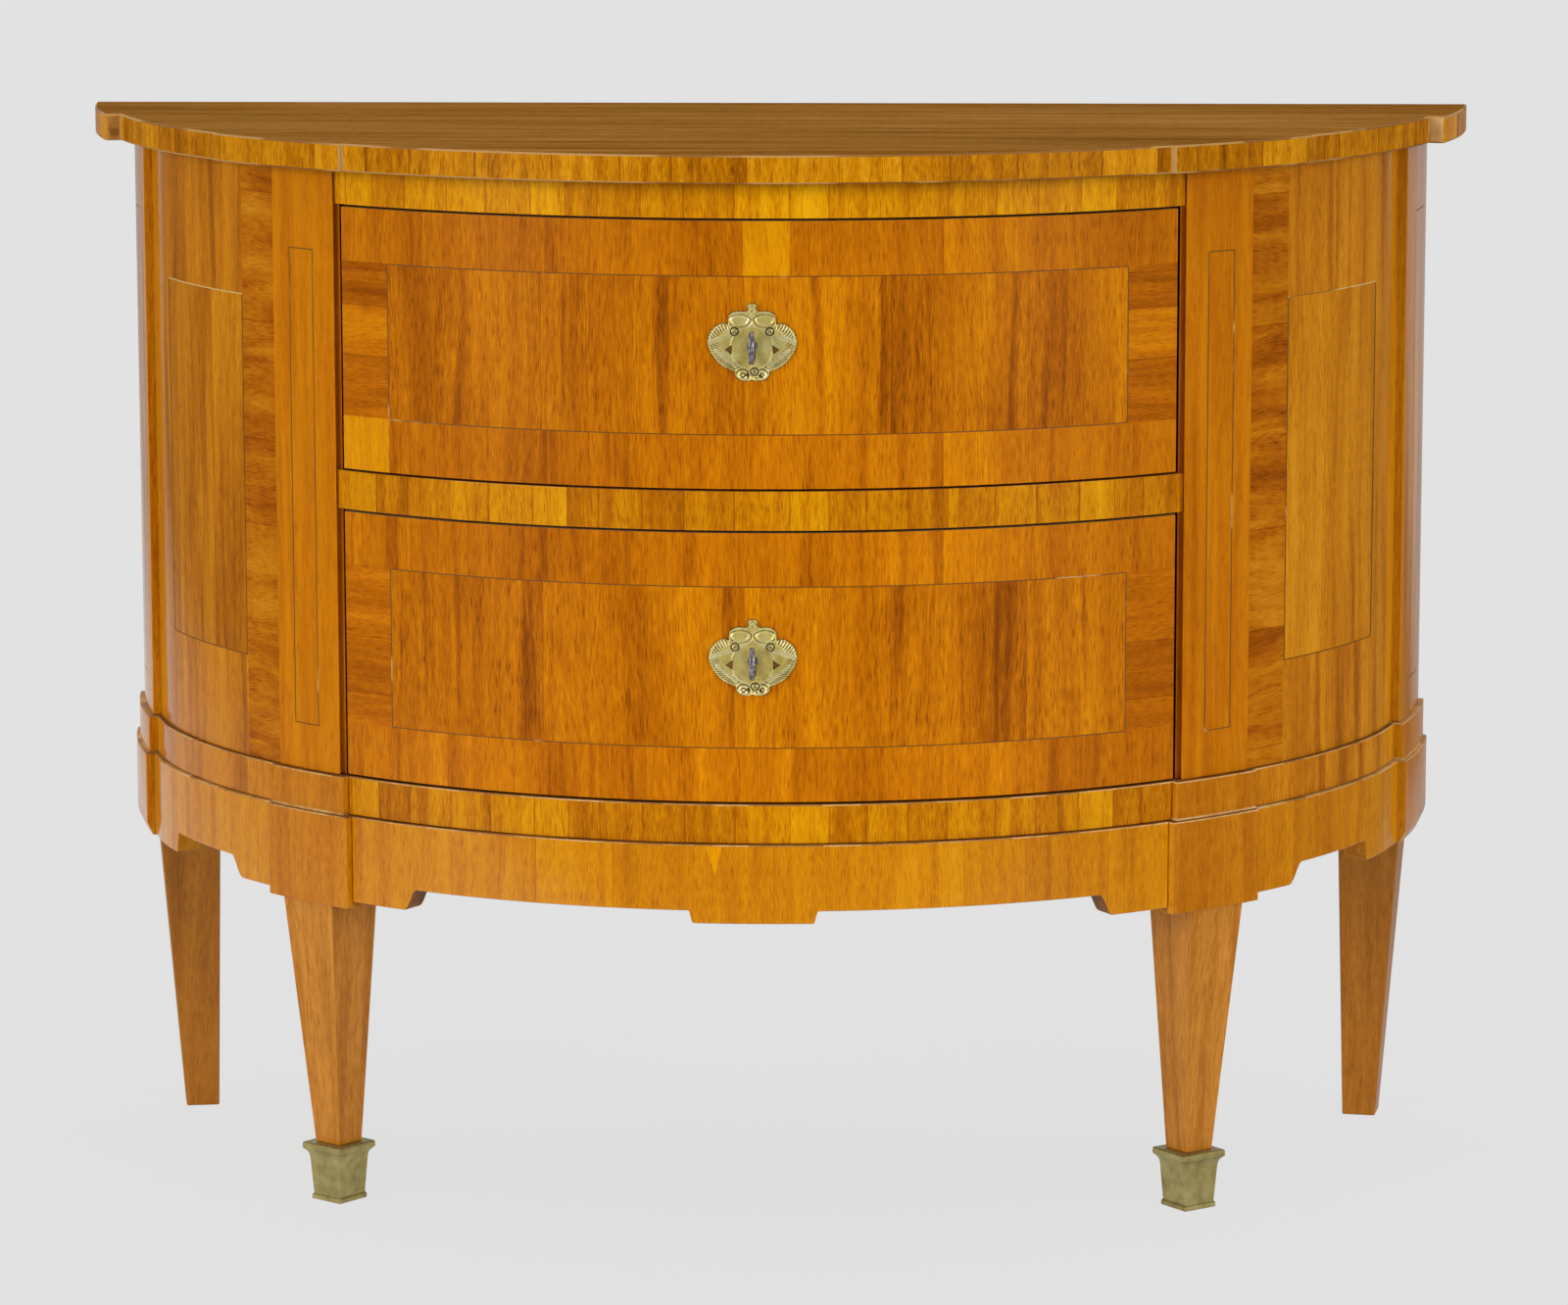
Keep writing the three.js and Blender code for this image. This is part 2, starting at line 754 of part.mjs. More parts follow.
function drawerFront(low, high, keyZ) {
  const innerY = faceY + frontThickness;
  const points = [...frontArc(0, frontHalfWidth), ...frontArc(-frontThickness, frontHalfWidth).reverse()];
  const pocketX = lockHalfWidth + seatGap;
  const pocket = block(
    -pocketX,
    pocketX,
    innerY - lockDepth - seatGap,
    innerY + cutOverrun,
    keyZ - lockBelowKey - seatGap,
    keyZ + lockAboveKey + seatGap,
  );
  const barX = boltBarHalfWidth + boltSideClearance;
  const channelFrontY = boltFrontY - boltSideClearance;
  const channel = block(-barX, barX, channelFrontY, innerY + cutOverrun, keyZ, high + cutOverrun);
  const screwHoles = screwPlaces.map(([x, z]) => {
    const deepest = faceY + screwLength + seatGap;
    return rod(screwShankRadius + seatGap, x, keyZ + plateAboveKey + z, faceY - cutOverrun, deepest);
  });
  return cut(
    prism(points, low, high),
    pocket,
    channel,
    keyhole(faceY - cutOverrun, innerY, keyZ),
    ...screwHoles,
  );
}

function drawerSide(side, low, high, bottomLow) {
  const front = arc(
    frontBackOffset,
    angleAtX(drawerSideInnerX, frontBackOffset),
    angleAtX(drawerSideOuterX, frontBackOffset),
  );
  const points = [
    ...front,
    new THREE.Vector2(drawerSideOuterX, drawerBackY),
    new THREE.Vector2(drawerSideInnerX, drawerBackY),
  ];
  const groove = sidedBlock(
    side,
    drawerSideInnerX - cutOverrun,
    drawerSideInnerX + grooveDepth + seatGap,
    faceY,
    drawerBackY + cutOverrun,
    bottomLow - seatGap,
    bottomLow + drawerBottomThickness + seatGap,
  );
  return cut(prism(sided(points, side), low, high), groove);
}

function drawerBottom(low) {
  const halfWidth = drawerSideInnerX + grooveDepth;
  const points = [
    ...frontArc(frontBackOffset, halfWidth),
    new THREE.Vector2(halfWidth, drawerBackY),
    new THREE.Vector2(-halfWidth, drawerBackY),
  ];
  return prism(points, low, low + drawerBottomThickness);
}

function drawerBack(low, high) {
  const halfWidth = drawerSideInnerX - seatGap;
  return block(-halfWidth, halfWidth, drawerBackY - drawerSideThickness, drawerBackY, low, high);
}

// Lock case: a box with a cavity for the bolt and the key's bit, a keyhole and a slot for the bar
function lockCase(keyZ) {
  const innerY = faceY + frontThickness;
  const frontY = innerY - lockDepth;
  const [low, high] = [keyZ - lockBelowKey, keyZ + lockAboveKey];
  const wallX = lockHalfWidth - lockWall;
  const barX = boltBarHalfWidth + boltSideClearance;
  return cut(
    block(-lockHalfWidth, lockHalfWidth, frontY, innerY, low, high),
    block(-wallX, wallX, frontY + lockWall, innerY - lockWall, low + lockWall, high - lockWall),
    block(-barX, barX, frontY + lockWall, innerY - lockWall, keyZ, high + cutOverrun),
    keyhole(frontY - cutOverrun, frontY + lockWall + seatGap, keyZ),
  );
}

function lockBolt(keyZ, drawerTop) {
  const low = keyZ + boltPlateBottom;
  return join(
    block(-boltPlateHalfWidth, boltPlateHalfWidth, boltFrontY, boltBackY, low, low + boltPlateHeight),
    block(-boltBarHalfWidth, boltBarHalfWidth, boltFrontY, boltBackY, low, drawerTop - boltTopDrop),
  );
}

// Escutcheon plate lies against the middle of the bowed front
function escutcheon(keyZ) {
  const plateZ = keyZ + plateAboveKey;
  const halfSize = new THREE.Vector2(plateHalfWidth, plateHalfHeight);
  const right = plateOutlineShares.map(([x, z]) => new THREE.Vector2(x, z).multiply(halfSize));
  const left = sided(right.slice(1, -1), -1).reverse();
  const backY = faceY - seatGap;
  const frontY = backY - plateThickness;
  const holes = screwPlaces.map(([x, z]) => rod(
    screwShankRadius + seatGap, x, plateZ + z, frontY - cutOverrun, backY + cutOverrun,
  ));
  return cut(
    plate(new THREE.Shape([...right, ...left]), plateThickness, backY, plateZ),
    keyhole(frontY - cutOverrun, backY + cutOverrun, keyZ),
    ...holes,
  );
}

function escutcheonScrew(keyZ, [x, z]) {
  const headBack = faceY - plateThickness - seatGap - seatGap;
  const height = keyZ + plateAboveKey + z;
  return join(
    rod(screwHeadRadius, x, height, headBack - screwHeadHeight, headBack),
    rod(screwShankRadius, x, height, headBack - screwHeadHeight / 2, faceY + screwLength),
  );
}

// Key: bow ring seen on edge, collar, shank through the keyhole, and the bit hanging in the lock
function key(keyZ) {
  const cavityFrontY = faceY + frontThickness - lockDepth + lockWall;
  const bitFrontY = cavityFrontY + seatGap;
  const bitBackY = bitFrontY + keyBitWidth;
  const collarBackY = faceY - seatGap - plateThickness - keyCollarStandoff;
  const bowBackY = collarBackY - keyCollarLength + keyBowNeck;
  const outer = new THREE.Shape();
  outer.absellipse(keyBowLength / 2, 0, keyBowLength / 2, keyBowHalfHeight, 0, Math.PI * 2);
  const hole = new THREE.Path();
  hole.absellipse(
    keyBowLength / 2,
    0,
    keyBowLength / 2 - keyBowWire,
    keyBowHalfHeight - keyBowWire,
    0,
    Math.PI * 2,
  );
  outer.holes.push(hole);
  const options = { depth: keyBowWire, bevelEnabled: false, curveSegments: roundSides };
  const ring = new THREE.ExtrudeGeometry(outer, options);
  ring.translate(0, 0, -keyBowWire / 2);
  const standing = new THREE.Matrix4().makeBasis(
    new THREE.Vector3(0, -1, 0),
    new THREE.Vector3(0, 0, 1),
    new THREE.Vector3(-1, 0, 0),
  );
  ring.applyMatrix4(standing);
  ring.translate(0, bowBackY, keyZ);
  return join(
    rod(keyShankRadius, 0, keyZ, bowBackY - keyBowNeck, bitBackY),
    rod(keyCollarRadius, 0, keyZ, collarBackY - keyCollarLength, collarBackY),
    toSolid(ring),
    block(-keyBitHalfThickness, keyBitHalfThickness, bitFrontY, bitBackY, keyZ - keyBitLength, keyZ),
  );
}

// Assembly
add('top_board', topBoard(), 'topVeneer');
add('back_panel', backPanel(), 'innerWood');
for (const [name, side] of sides) {
  add(`side_panel_${name}`, sidePanel(side), 'veneer');
  add(`front_stile_${name}`, frontStile(side), 'veneer');
  add(`rear_pilaster_${name}`, rearPilaster(side), 'veneer');
  add(`base_band_${name}`, sideBand(side), 'veneer');
  add(`apron_${name}`, sideApron(side), 'veneer');
  add(`front_leg_block_${name}`, frontLegBlock(side), 'veneer');
  add(`rear_leg_block_${name}`, rearLegBlock(side), 'veneer');
  add(`front_leg_${name}`, frontLeg(side), 'legWood');
  add(`rear_leg_${name}`, rearLeg(side), 'legWood');
  add(`brass_shoe_${name}`, brassShoe(side), 'brass');
}
add('top_rail', rail(topRailBottom, caseTop - seatGap), 'railVeneer');
add('middle_rail', rail(middleRailBottom, middleRailTop), 'railVeneer');
add('base_band_centre', centreBand(), 'railVeneer');
add('apron_centre', centreApron(), 'railVeneer');
add('back_rail', backRail(), 'innerWood');
add('bottom_board', bottomBoard(), 'innerWood');
add('dust_board', dustBoard(), 'innerWood');

const drawers = [
  { name: 'upper', railTop: middleRailTop, railAbove: topRailBottom, runnerFront: -railDepth - seatGap },
  { name: 'lower', railTop: bandTop, railAbove: middleRailBottom, runnerFront: -postDepth - seatGap },
];

for (const { name, railTop, railAbove, runnerFront } of drawers) {
  const [frontLow, frontHigh] = [railTop + frontEdgeGap, railAbove - frontEdgeGap];
  const sideHigh = frontHigh - drawerSideDrop;
  const bottomLow = railTop + drawerBottomRise;
  const boardAbove = bottomLow + drawerBottomThickness + seatGap;
  const keyZ = railTop + keyAxisAboveOpening;
  for (const [sideName, side] of sides) {
    add(`drawer_runner_${name}_${sideName}`, runner(side, railTop, runnerFront), 'innerWood');
    const sideBoard = drawerSide(side, railTop + seatGap, sideHigh, bottomLow);
    add(`drawer_side_${name}_${sideName}`, sideBoard, 'innerWood');
  }
  add(`drawer_stop_${name}`, drawerStop(railTop), 'innerWood');
  add(`drawer_front_${name}`, drawerFront(frontLow, frontHigh, keyZ), 'veneer');
  add(`drawer_bottom_${name}`, drawerBottom(bottomLow), 'innerWood');
  add(`drawer_back_${name}`, drawerBack(boardAbove, frontHigh - drawerBackDrop), 'innerWood');
  add(`lock_case_${name}`, lockCase(keyZ), 'steel');
  add(`lock_bolt_${name}`, lockBolt(keyZ, frontHigh), 'steel');
  add(`key_${name}`, key(keyZ), 'steel');
  add(`escutcheon_${name}`, escutcheon(keyZ), 'brass');
  screwPlaces.forEach((place, i) => {
    add(`escutcheon_screw_${name}_${i + 1}`, escutcheonScrew(keyZ, place), 'brass');
  });
}

export default chest;
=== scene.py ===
import math

import bmesh
import bpy
from mathutils import Matrix, Vector


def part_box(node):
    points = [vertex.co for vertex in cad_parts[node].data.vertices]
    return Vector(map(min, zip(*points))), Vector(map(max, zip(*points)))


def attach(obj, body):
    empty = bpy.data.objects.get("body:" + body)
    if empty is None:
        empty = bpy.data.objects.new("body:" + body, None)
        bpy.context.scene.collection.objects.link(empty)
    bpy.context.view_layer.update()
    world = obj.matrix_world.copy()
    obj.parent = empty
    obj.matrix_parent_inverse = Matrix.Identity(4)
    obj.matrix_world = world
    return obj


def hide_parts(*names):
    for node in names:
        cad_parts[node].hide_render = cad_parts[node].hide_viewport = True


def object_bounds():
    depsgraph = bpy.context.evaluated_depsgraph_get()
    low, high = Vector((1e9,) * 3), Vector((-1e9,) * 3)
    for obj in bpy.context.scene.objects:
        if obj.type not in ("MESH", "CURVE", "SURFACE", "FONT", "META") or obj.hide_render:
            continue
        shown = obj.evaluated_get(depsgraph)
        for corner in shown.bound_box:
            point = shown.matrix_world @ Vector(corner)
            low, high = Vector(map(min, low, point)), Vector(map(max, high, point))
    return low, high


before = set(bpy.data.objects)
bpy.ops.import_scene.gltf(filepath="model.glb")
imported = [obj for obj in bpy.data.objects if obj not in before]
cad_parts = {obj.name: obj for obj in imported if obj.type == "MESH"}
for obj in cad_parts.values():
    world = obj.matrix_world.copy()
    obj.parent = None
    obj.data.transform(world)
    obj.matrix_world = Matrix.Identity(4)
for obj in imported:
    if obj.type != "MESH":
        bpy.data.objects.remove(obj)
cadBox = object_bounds()
mm = 0.001

# The chest's bow is one arc struck from behind the wall
bow = {"radius": 0.545, "centreBehindWall": 0.045, "arcStep": math.radians(0.75)}
wallY = cadBox[1][1]
centreY = wallY + bow["centreBehindWall"]
faceY = centreY - bow["radius"]
seatGap = 0.3 * mm
cutPast = 5 * mm    # a cutter runs this far past what it cuts
crowded = 0.3       # two places crowd each other within this share of a step
sides = (("left", -1), ("right", 1))
drawerNames = ("upper", "lower")


def topOf(node):
    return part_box(node)[1].z


def bottomOf(node):
    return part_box(node)[0].z


def onBow(offset, angle):
    radius = bow["radius"] + offset
    return (radius * math.sin(angle), centreY - radius * math.cos(angle))


def angleAtX(x, offset=0.0):
    return math.asin(x / (bow["radius"] + offset))


def angleAtDepth(depth, offset):
    return math.acos((bow["centreBehindWall"] + depth) / (bow["radius"] + offset))


def steps(start, end, extra=(), step=None):
    # even steps with the extra places kept and whatever crowds them left out
    step = step or bow["arcStep"]
    count = max(1, math.ceil(abs(end - start) / step))
    even = [start + (end - start) * i / count for i in range(count + 1)]
    inside = [e for e in extra if min(start, end) < e < max(start, end)]
    clear = [v for i, v in enumerate(even)
             if i in (0, count) or all(abs(v - e) > step * crowded for e in inside)]
    return sorted(clear + inside, reverse=end < start)


def clamp(t):
    return min(1.0, max(0.0, t))


def smooth(t):
    return t * t * (3 - 2 * t)


def levels(low, high, strings):
    # an upright piece is cut only at its ends and along its strings
    return steps(low, high, strings, high - low)


def arc(offset, start, end, extra=()):
    return [onBow(offset, a) for a in steps(start, end, extra)]


def sector(outer, inner, start, end):
    return arc(outer, start, end) + arc(inner, end, start)


def sided(points, side):
    return points if side > 0 else [(-x, y) for x, y in reversed(points)]


def roundCorner(points, index, reach, count=4):
    # one corner of an outline eased into a curve that starts and ends at reach from it
    corner = Vector(points[index])
    before = corner + (Vector(points[index - 1]) - corner).normalized() * reach
    after = corner + (Vector(points[(index + 1) % len(points)]) - corner).normalized() * reach
    curve = []
    for i in range(count + 1):
        t = i / count
        curve.append(tuple(before * (1 - t) ** 2 + corner * 2 * t * (1 - t) + after * t ** 2))
    return points[:index] + curve + points[index + 1:]


# Places that several pieces share
posts = {"openingAngle": math.radians(37.4), "strip": 5 * mm, "stile": 52 * mm, "stileProud": 3 * mm,
         "stripBack": 3 * mm, "depth": 45 * mm, "pilasterDepth": 118 * mm, "pilasterProud": 4.5 * mm,
         "veneered": 4 * mm}    # the returns carry veneer this far back
openingX = bow["radius"] * math.sin(posts["openingAngle"])
stileInnerX = openingX + posts["strip"]
stileOuterX = stileInnerX + posts["stile"]
stileMiddle = angleAtX((stileInnerX + stileOuterX) / 2)
stileAngle = angleAtX(stileOuterX)
pilasterAngle = angleAtDepth(posts["pilasterDepth"], 0)
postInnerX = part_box("rear_pilaster_right")[0].x
seatAngle = seatGap / bow["radius"]
caseLow = bottomOf("front_stile_left")
caseHigh = topOf("front_stile_left")


# Materials
def srgb(hexColour):
    # an sRGB hex colour as the linear values that shaders take
    parts = [int(hexColour[i:i + 2], 16) / 255 for i in (1, 3, 5)]
    return tuple(c / 12.92 if c <= 0.04045 else ((c + 0.055) / 1.055) ** 2.4 for c in parts) + (1.0,)


def addNode(tree, kind, inputs=None, **settings):
    # one node with its settings; an input takes a value, an output or a node for its first output
    made = tree.nodes.new("ShaderNode" + kind)
    stops = settings.pop("stops", None)
    for key, value in settings.items():
        setattr(made, key, value)
    if stops:
        ramp = made.color_ramp
        while len(ramp.elements) < len(stops):
            ramp.elements.new(0.5)
        for element, (place, colour) in zip(ramp.elements, stops):
            element.position = place
            element.color = colour
    for key, value in (inputs or {}).items():
        if isinstance(value, bpy.types.Node):
            value = value.outputs[0]
        if isinstance(value, bpy.types.NodeSocket):
            tree.links.new(value, made.inputs[key])
        else:
            made.inputs[key].default_value = value
    return made


def calc(tree, operation, *values):
    return addNode(tree, "Math", dict(enumerate(values)), operation=operation)


def remap(tree, value, low, high, toLow=0.0, toHigh=1.0):
    return addNode(tree, "MapRange", {"Value": value, "From Min": low, "From Max": high,
                                      "To Min": toLow, "To Max": toHigh})


def noise(tree, place, size, detail, **more):
    # clouds of a size in mm
    return addNode(tree, "TexNoise", {"Vector": place, "Scale": 1 / (size * mm), "Detail": detail, **more})


def bumped(tree, height, depth):
    # depth in mm
    return addNode(tree, "Bump", {"Height": height, "Distance": depth * mm, "Strength": 1.0})


def surfaced(material, tree, settings):
    addNode(tree, "OutputMaterial", {0: addNode(tree, "BsdfPrincipled", settings)})
    return material


noiseRange = (0.3, 0.7)    # the part of 0 to 1 that a noise takes up


def newMaterial(name):
    material = bpy.data.materials.new(name)
    material.use_nodes = True
    material.node_tree.nodes.clear()
    return material, material.node_tree


# Sizes in millimetres. A grain row is width, stretch along the grain, detail and weight; a vein or pore is
# width and stretch, with the part of the noise that shows. Real pores are 0.2 mm wide, and these are drawn
# four times as wide so that they show.
veneerBase = {
    "lay": "bow", "grain": "up", "sheet": 110, "sheetJitter": 0.75, "firstSheet": 40, "tone": 0.14,
    "seed": 0.0,
    "rows": ((58, 7, 2, 0.62), (10, 34, 3, 0.34), (2.8, 26, 2, 0.32), (1.2, 10, 2, 0.5), (13, 1.5, 2, 0.14)),
    "vein": (13, 30), "veinShows": (0.56, 0.7), "veinDepth": 0.12,
    "pore": (0.8, 15), "poreShows": (0.54, 0.72), "poreDepth": 0.26, "poreRelief": 0.7,
    "wander": 19, "wanderLength": 210, "wanderWidth": 60, "figureShift": 61,
    "joint": 0.12, "jointWidth": 0.9, "colourAt": (0.08, 0.36, 0.58, 0.90),
    "rough": (0.34, 0.46), "specular": 0.03, "bump": 0.02,
    "coat": 0.35, "coatRough": 0.12, "polishWave": 35.714, "polishDepth": 0.25,
}


def veneer(name, **look):
    # sawn veneer laid in sheets, scraped and French polished: streaky amber under a thin clear gloss
    look = {**veneerBase, **look}
    material, tree = newMaterial(name)
    coords = addNode(tree, "TexCoord")
    place = coords.outputs["Object"]
    xyz = addNode(tree, "SeparateXYZ", {0: place})
    upAxis = "X" if look["lay"] == "top" else "Z"
    upward = calc(tree, "MULTIPLY", xyz.outputs[upAxis], 1 / mm)
    if look["lay"] == "bow":
        behind = calc(tree, "SUBTRACT", centreY, xyz.outputs["Y"])
        angle = calc(tree, "ARCTAN2", xyz.outputs["X"], behind)
        around = calc(tree, "MULTIPLY", angle, bow["radius"] / mm)
    elif look["lay"] == "top":
        around = calc(tree, "MULTIPLY", xyz.outputs["Y"], 1 / mm)
    else:
        # measured along each face of a post, whichever way the face looks
        facing = addNode(tree, "SeparateXYZ", {0: coords.outputs["Normal"]})
        sideways = calc(tree, "MULTIPLY", xyz.outputs["X"], facing.outputs["Y"])
        inward = calc(tree, "MULTIPLY", xyz.outputs["Y"], facing.outputs["X"])
        skew = calc(tree, "SUBTRACT", inward, sideways)
        around = calc(tree, "MULTIPLY", skew, 1 / mm)
    across, along = (around, upward) if look["grain"] == "up" else (upward, around)

    # sheets: each takes its own tone and its own piece of the figure
    sheetAt = calc(tree, "MULTIPLY_ADD", across, 1 / look["sheet"], look["firstSheet"] + look["seed"])
    sheetPick = {"W": sheetAt, "Scale": 1.0, "Randomness": look["sheetJitter"]}
    sheet = addNode(tree, "TexVoronoi", sheetPick, voronoi_dimensions="1D")
    tone = addNode(tree, "SeparateColor", {0: sheet.outputs["Color"]})
    edge = addNode(tree, "TexVoronoi", sheetPick, voronoi_dimensions="1D", feature="DISTANCE_TO_EDGE")
    shift = calc(tree, "MULTIPLY_ADD", tone.outputs["Green"], look["figureShift"], look["seed"])

    # the grain wanders from side to side along the sheet
    bend = addNode(tree, "CombineXYZ", {
        0: calc(tree, "MULTIPLY", across, 1 / look["wanderWidth"]),
        1: calc(tree, "MULTIPLY", along, 1 / look["wanderLength"]), 2: shift})
    sway = addNode(tree, "TexNoise", {"Vector": bend, "Scale": 1.0, "Detail": 1.0})
    swayed = calc(tree, "MULTIPLY_ADD", sway.outputs[0], look["wander"], across)

    def figure(width, stretch, detail):
        # cloudy streaks of one width, drawn out along the grain
        spot = addNode(tree, "CombineXYZ", {
            0: calc(tree, "MULTIPLY", swayed, 1 / width),
            1: calc(tree, "MULTIPLY", along, 1 / width / stretch), 2: shift})
        return addNode(tree, "TexNoise", {"Vector": spot, "Scale": 1.0, "Detail": float(detail)})

    value = 0.5 - look["tone"] / 2 - sum(row[3] for row in look["rows"]) / 2
    value = calc(tree, "MULTIPLY_ADD", tone.outputs["Red"], look["tone"], value)
    streaks = [figure(width, stretch, detail) for width, stretch, detail, _ in look["rows"]]
    for streak, (_, _, _, weight) in zip(streaks, look["rows"]):
        value = calc(tree, "MULTIPLY_ADD", streak, weight, value)

    # a few dark veins between plain stretches, then the pores
    for mark in ("vein", "pore"):
        fleck = remap(tree, figure(*look[mark], 1), *look[f"{mark}Shows"])
        value = calc(tree, "MULTIPLY_ADD", fleck, -look[f"{mark}Depth"], value)
    seam = remap(tree, edge.outputs["Distance"], 0.0, look["jointWidth"] / look["sheet"],
                 -look["joint"], 0.0)
    value = calc(tree, "ADD", value, seam)
    colour = addNode(tree, "ValToRGB", {0: value}, stops=[
        (at, srgb(look[shade])) for at, shade in zip(look["colourAt"], ("dark", "low", "mid", "light"))])
    rough = remap(tree, streaks[0], *noiseRange, *look["rough"])
    relief = calc(tree, "MULTIPLY_ADD", fleck, -look["poreRelief"], value)
    bump = bumped(tree, relief, look["bump"])
    # the polish itself lies in slow waves
    wave = noise(tree, place, look["polishWave"], 1.0)
    skin = bumped(tree, wave, look["polishDepth"])
    return surfaced(material, tree, {
        "Base Color": colour, "Roughness": rough, "Normal": bump,
        "Specular IOR Level": look["specular"], "Coat Weight": look["coat"],
        "Coat Roughness": look["coatRough"], "Coat Normal": skin})


# Sizes in millimetres: growth rings, dark stains of age and the depth of the planed-out early wood
bareBase = {"width": 5.0, "stretch": 18, "ringScale": 0.6, "stain": 111.11, "stainDepth": 0.6,
            "relief": 0.15, "rough": 0.72, "seed": 0.0, "lay": "X"}


def bareWood(name, dark, mid, light, **look):
    # planed softwood left bare inside the case: dull, with brown growth lines
    look = {**bareBase, **look}
    material, tree = newMaterial(name)
    place = addNode(tree, "TexCoord").outputs["Object"]
    xyz = addNode(tree, "SeparateXYZ", {0: place})
    first, second = [axis for axis in "XYZ" if axis != look["lay"]]
    fine = 1 / (look["width"] * mm)
    coarse = fine / look["stretch"]
    spot = addNode(tree, "CombineXYZ", {
        0: calc(tree, "MULTIPLY", xyz.outputs[look["lay"]], coarse),
        1: calc(tree, "MULTIPLY_ADD", xyz.outputs[first], fine, look["seed"]),
        2: calc(tree, "MULTIPLY", xyz.outputs[second], fine)})
    rings = addNode(tree, "TexNoise", {"Vector": spot, "Scale": look["ringScale"], "Detail": 4.0,
                                       "Distortion": 0.4})
    stain = noise(tree, place, look["stain"], 3.0)
    value = calc(tree, "MULTIPLY_ADD", stain, look["stainDepth"], -look["stainDepth"] / 2)
    value = calc(tree, "ADD", value, rings)
    colour = addNode(tree, "ValToRGB", {0: value}, stops=(
        (0.25, srgb(dark)), (0.5, srgb(mid)), (0.75, srgb(light))))
    bump = bumped(tree, rings, look["relief"])
    return surfaced(material, tree, {
        "Base Color": colour, "Roughness": look["rough"], "Normal": bump, "Specular IOR Level": 0.25})


def wornLine(name, dark, pale, share, wear, fade=0.06, depth=0.1):
    # a thin line of wood in two states, whole and rubbed, and on an eased edge the pale state is a painted
    # highlight; wear is the length in mm from one to the other
    material, tree = newMaterial(name)
    place = addNode(tree, "TexCoord").outputs["Object"]
    wearAndHighlight = noise(tree, place, wear, 3.0)
    bare = remap(tree, wearAndHighlight, share, share + fade)
    colour = addNode(tree, "Mix", {0: bare, 6: srgb(dark), 7: srgb(pale)}, data_type="RGBA")
    bump = bumped(tree, wearAndHighlight, depth)
    return surfaced(material, tree, {
        "Base Color": colour.outputs[2], "Roughness": 0.5, "Normal": bump, "Specular IOR Level": 0.2})


# Real file marks lie 0.2 mm apart, and these are four times as coarse so that they show
fileMarks = {"apart": 0.8, "depth": 0.35}


def metal(name, dark, mid, light, rough, spot, metallic=1.0, relief=0.05):
    # old hand-worked metal: filed and rubbed, duller and darker where it was never polished
    material, tree = newMaterial(name)
    place = addNode(tree, "TexCoord").outputs["Object"]
    cloud = noise(tree, place, spot, 5.0, Roughness=0.6)
    marks = noise(tree, place, fileMarks["apart"], 2.0)
    value = calc(tree, "MULTIPLY_ADD", marks, fileMarks["depth"], -fileMarks["depth"] / 2)
    value = calc(tree, "ADD", value, cloud)
    colour = addNode(tree, "ValToRGB", {0: value}, stops=(
        (0.3, srgb(dark)), (0.5, srgb(mid)), (0.68, srgb(light))))
    rough = remap(tree, cloud, *noiseRange, *reversed(rough))
    bump = bumped(tree, value, relief)
    return surfaced(material, tree, {
        "Base Color": colour, "Metallic": metallic, "Roughness": rough, "Normal": bump})


# What several looks share
railLook = {"sheet": 34, "tone": 0.34, "seed": 2.2, "joint": 0.3,
            "rows": ((15, 14, 2, 0.5), (6, 16, 3, 0.45), (1.4, 6, 2, 0.5), (14, 1.4, 2, 0.12))}
sideLook = {"coat": 0.9, "veinDepth": 0.22,
            "rows": ((46, 9, 2, 0.8), (10, 34, 3, 0.45), (2.8, 26, 2, 0.32), (1.2, 10, 2, 0.4),
                     (13, 1.5, 2, 0.1))}
apronRows = ((22, 14, 2, 0.4), (7, 14, 3, 0.4), (1.4, 6, 2, 0.5), (15, 1.4, 2, 0.12))
legLook = {"lay": "post", "sheet": 400, "tone": 0.0, "seed": 21.3, "coatRough": 0.22,
           "rows": ((14, 18, 2, 0.5), (5, 16, 3, 0.45), (1.4, 8, 2, 0.5), (14, 1.5, 2, 0.12))}
bareShades = ("#8a6236", "#b08850", "#c9a468")
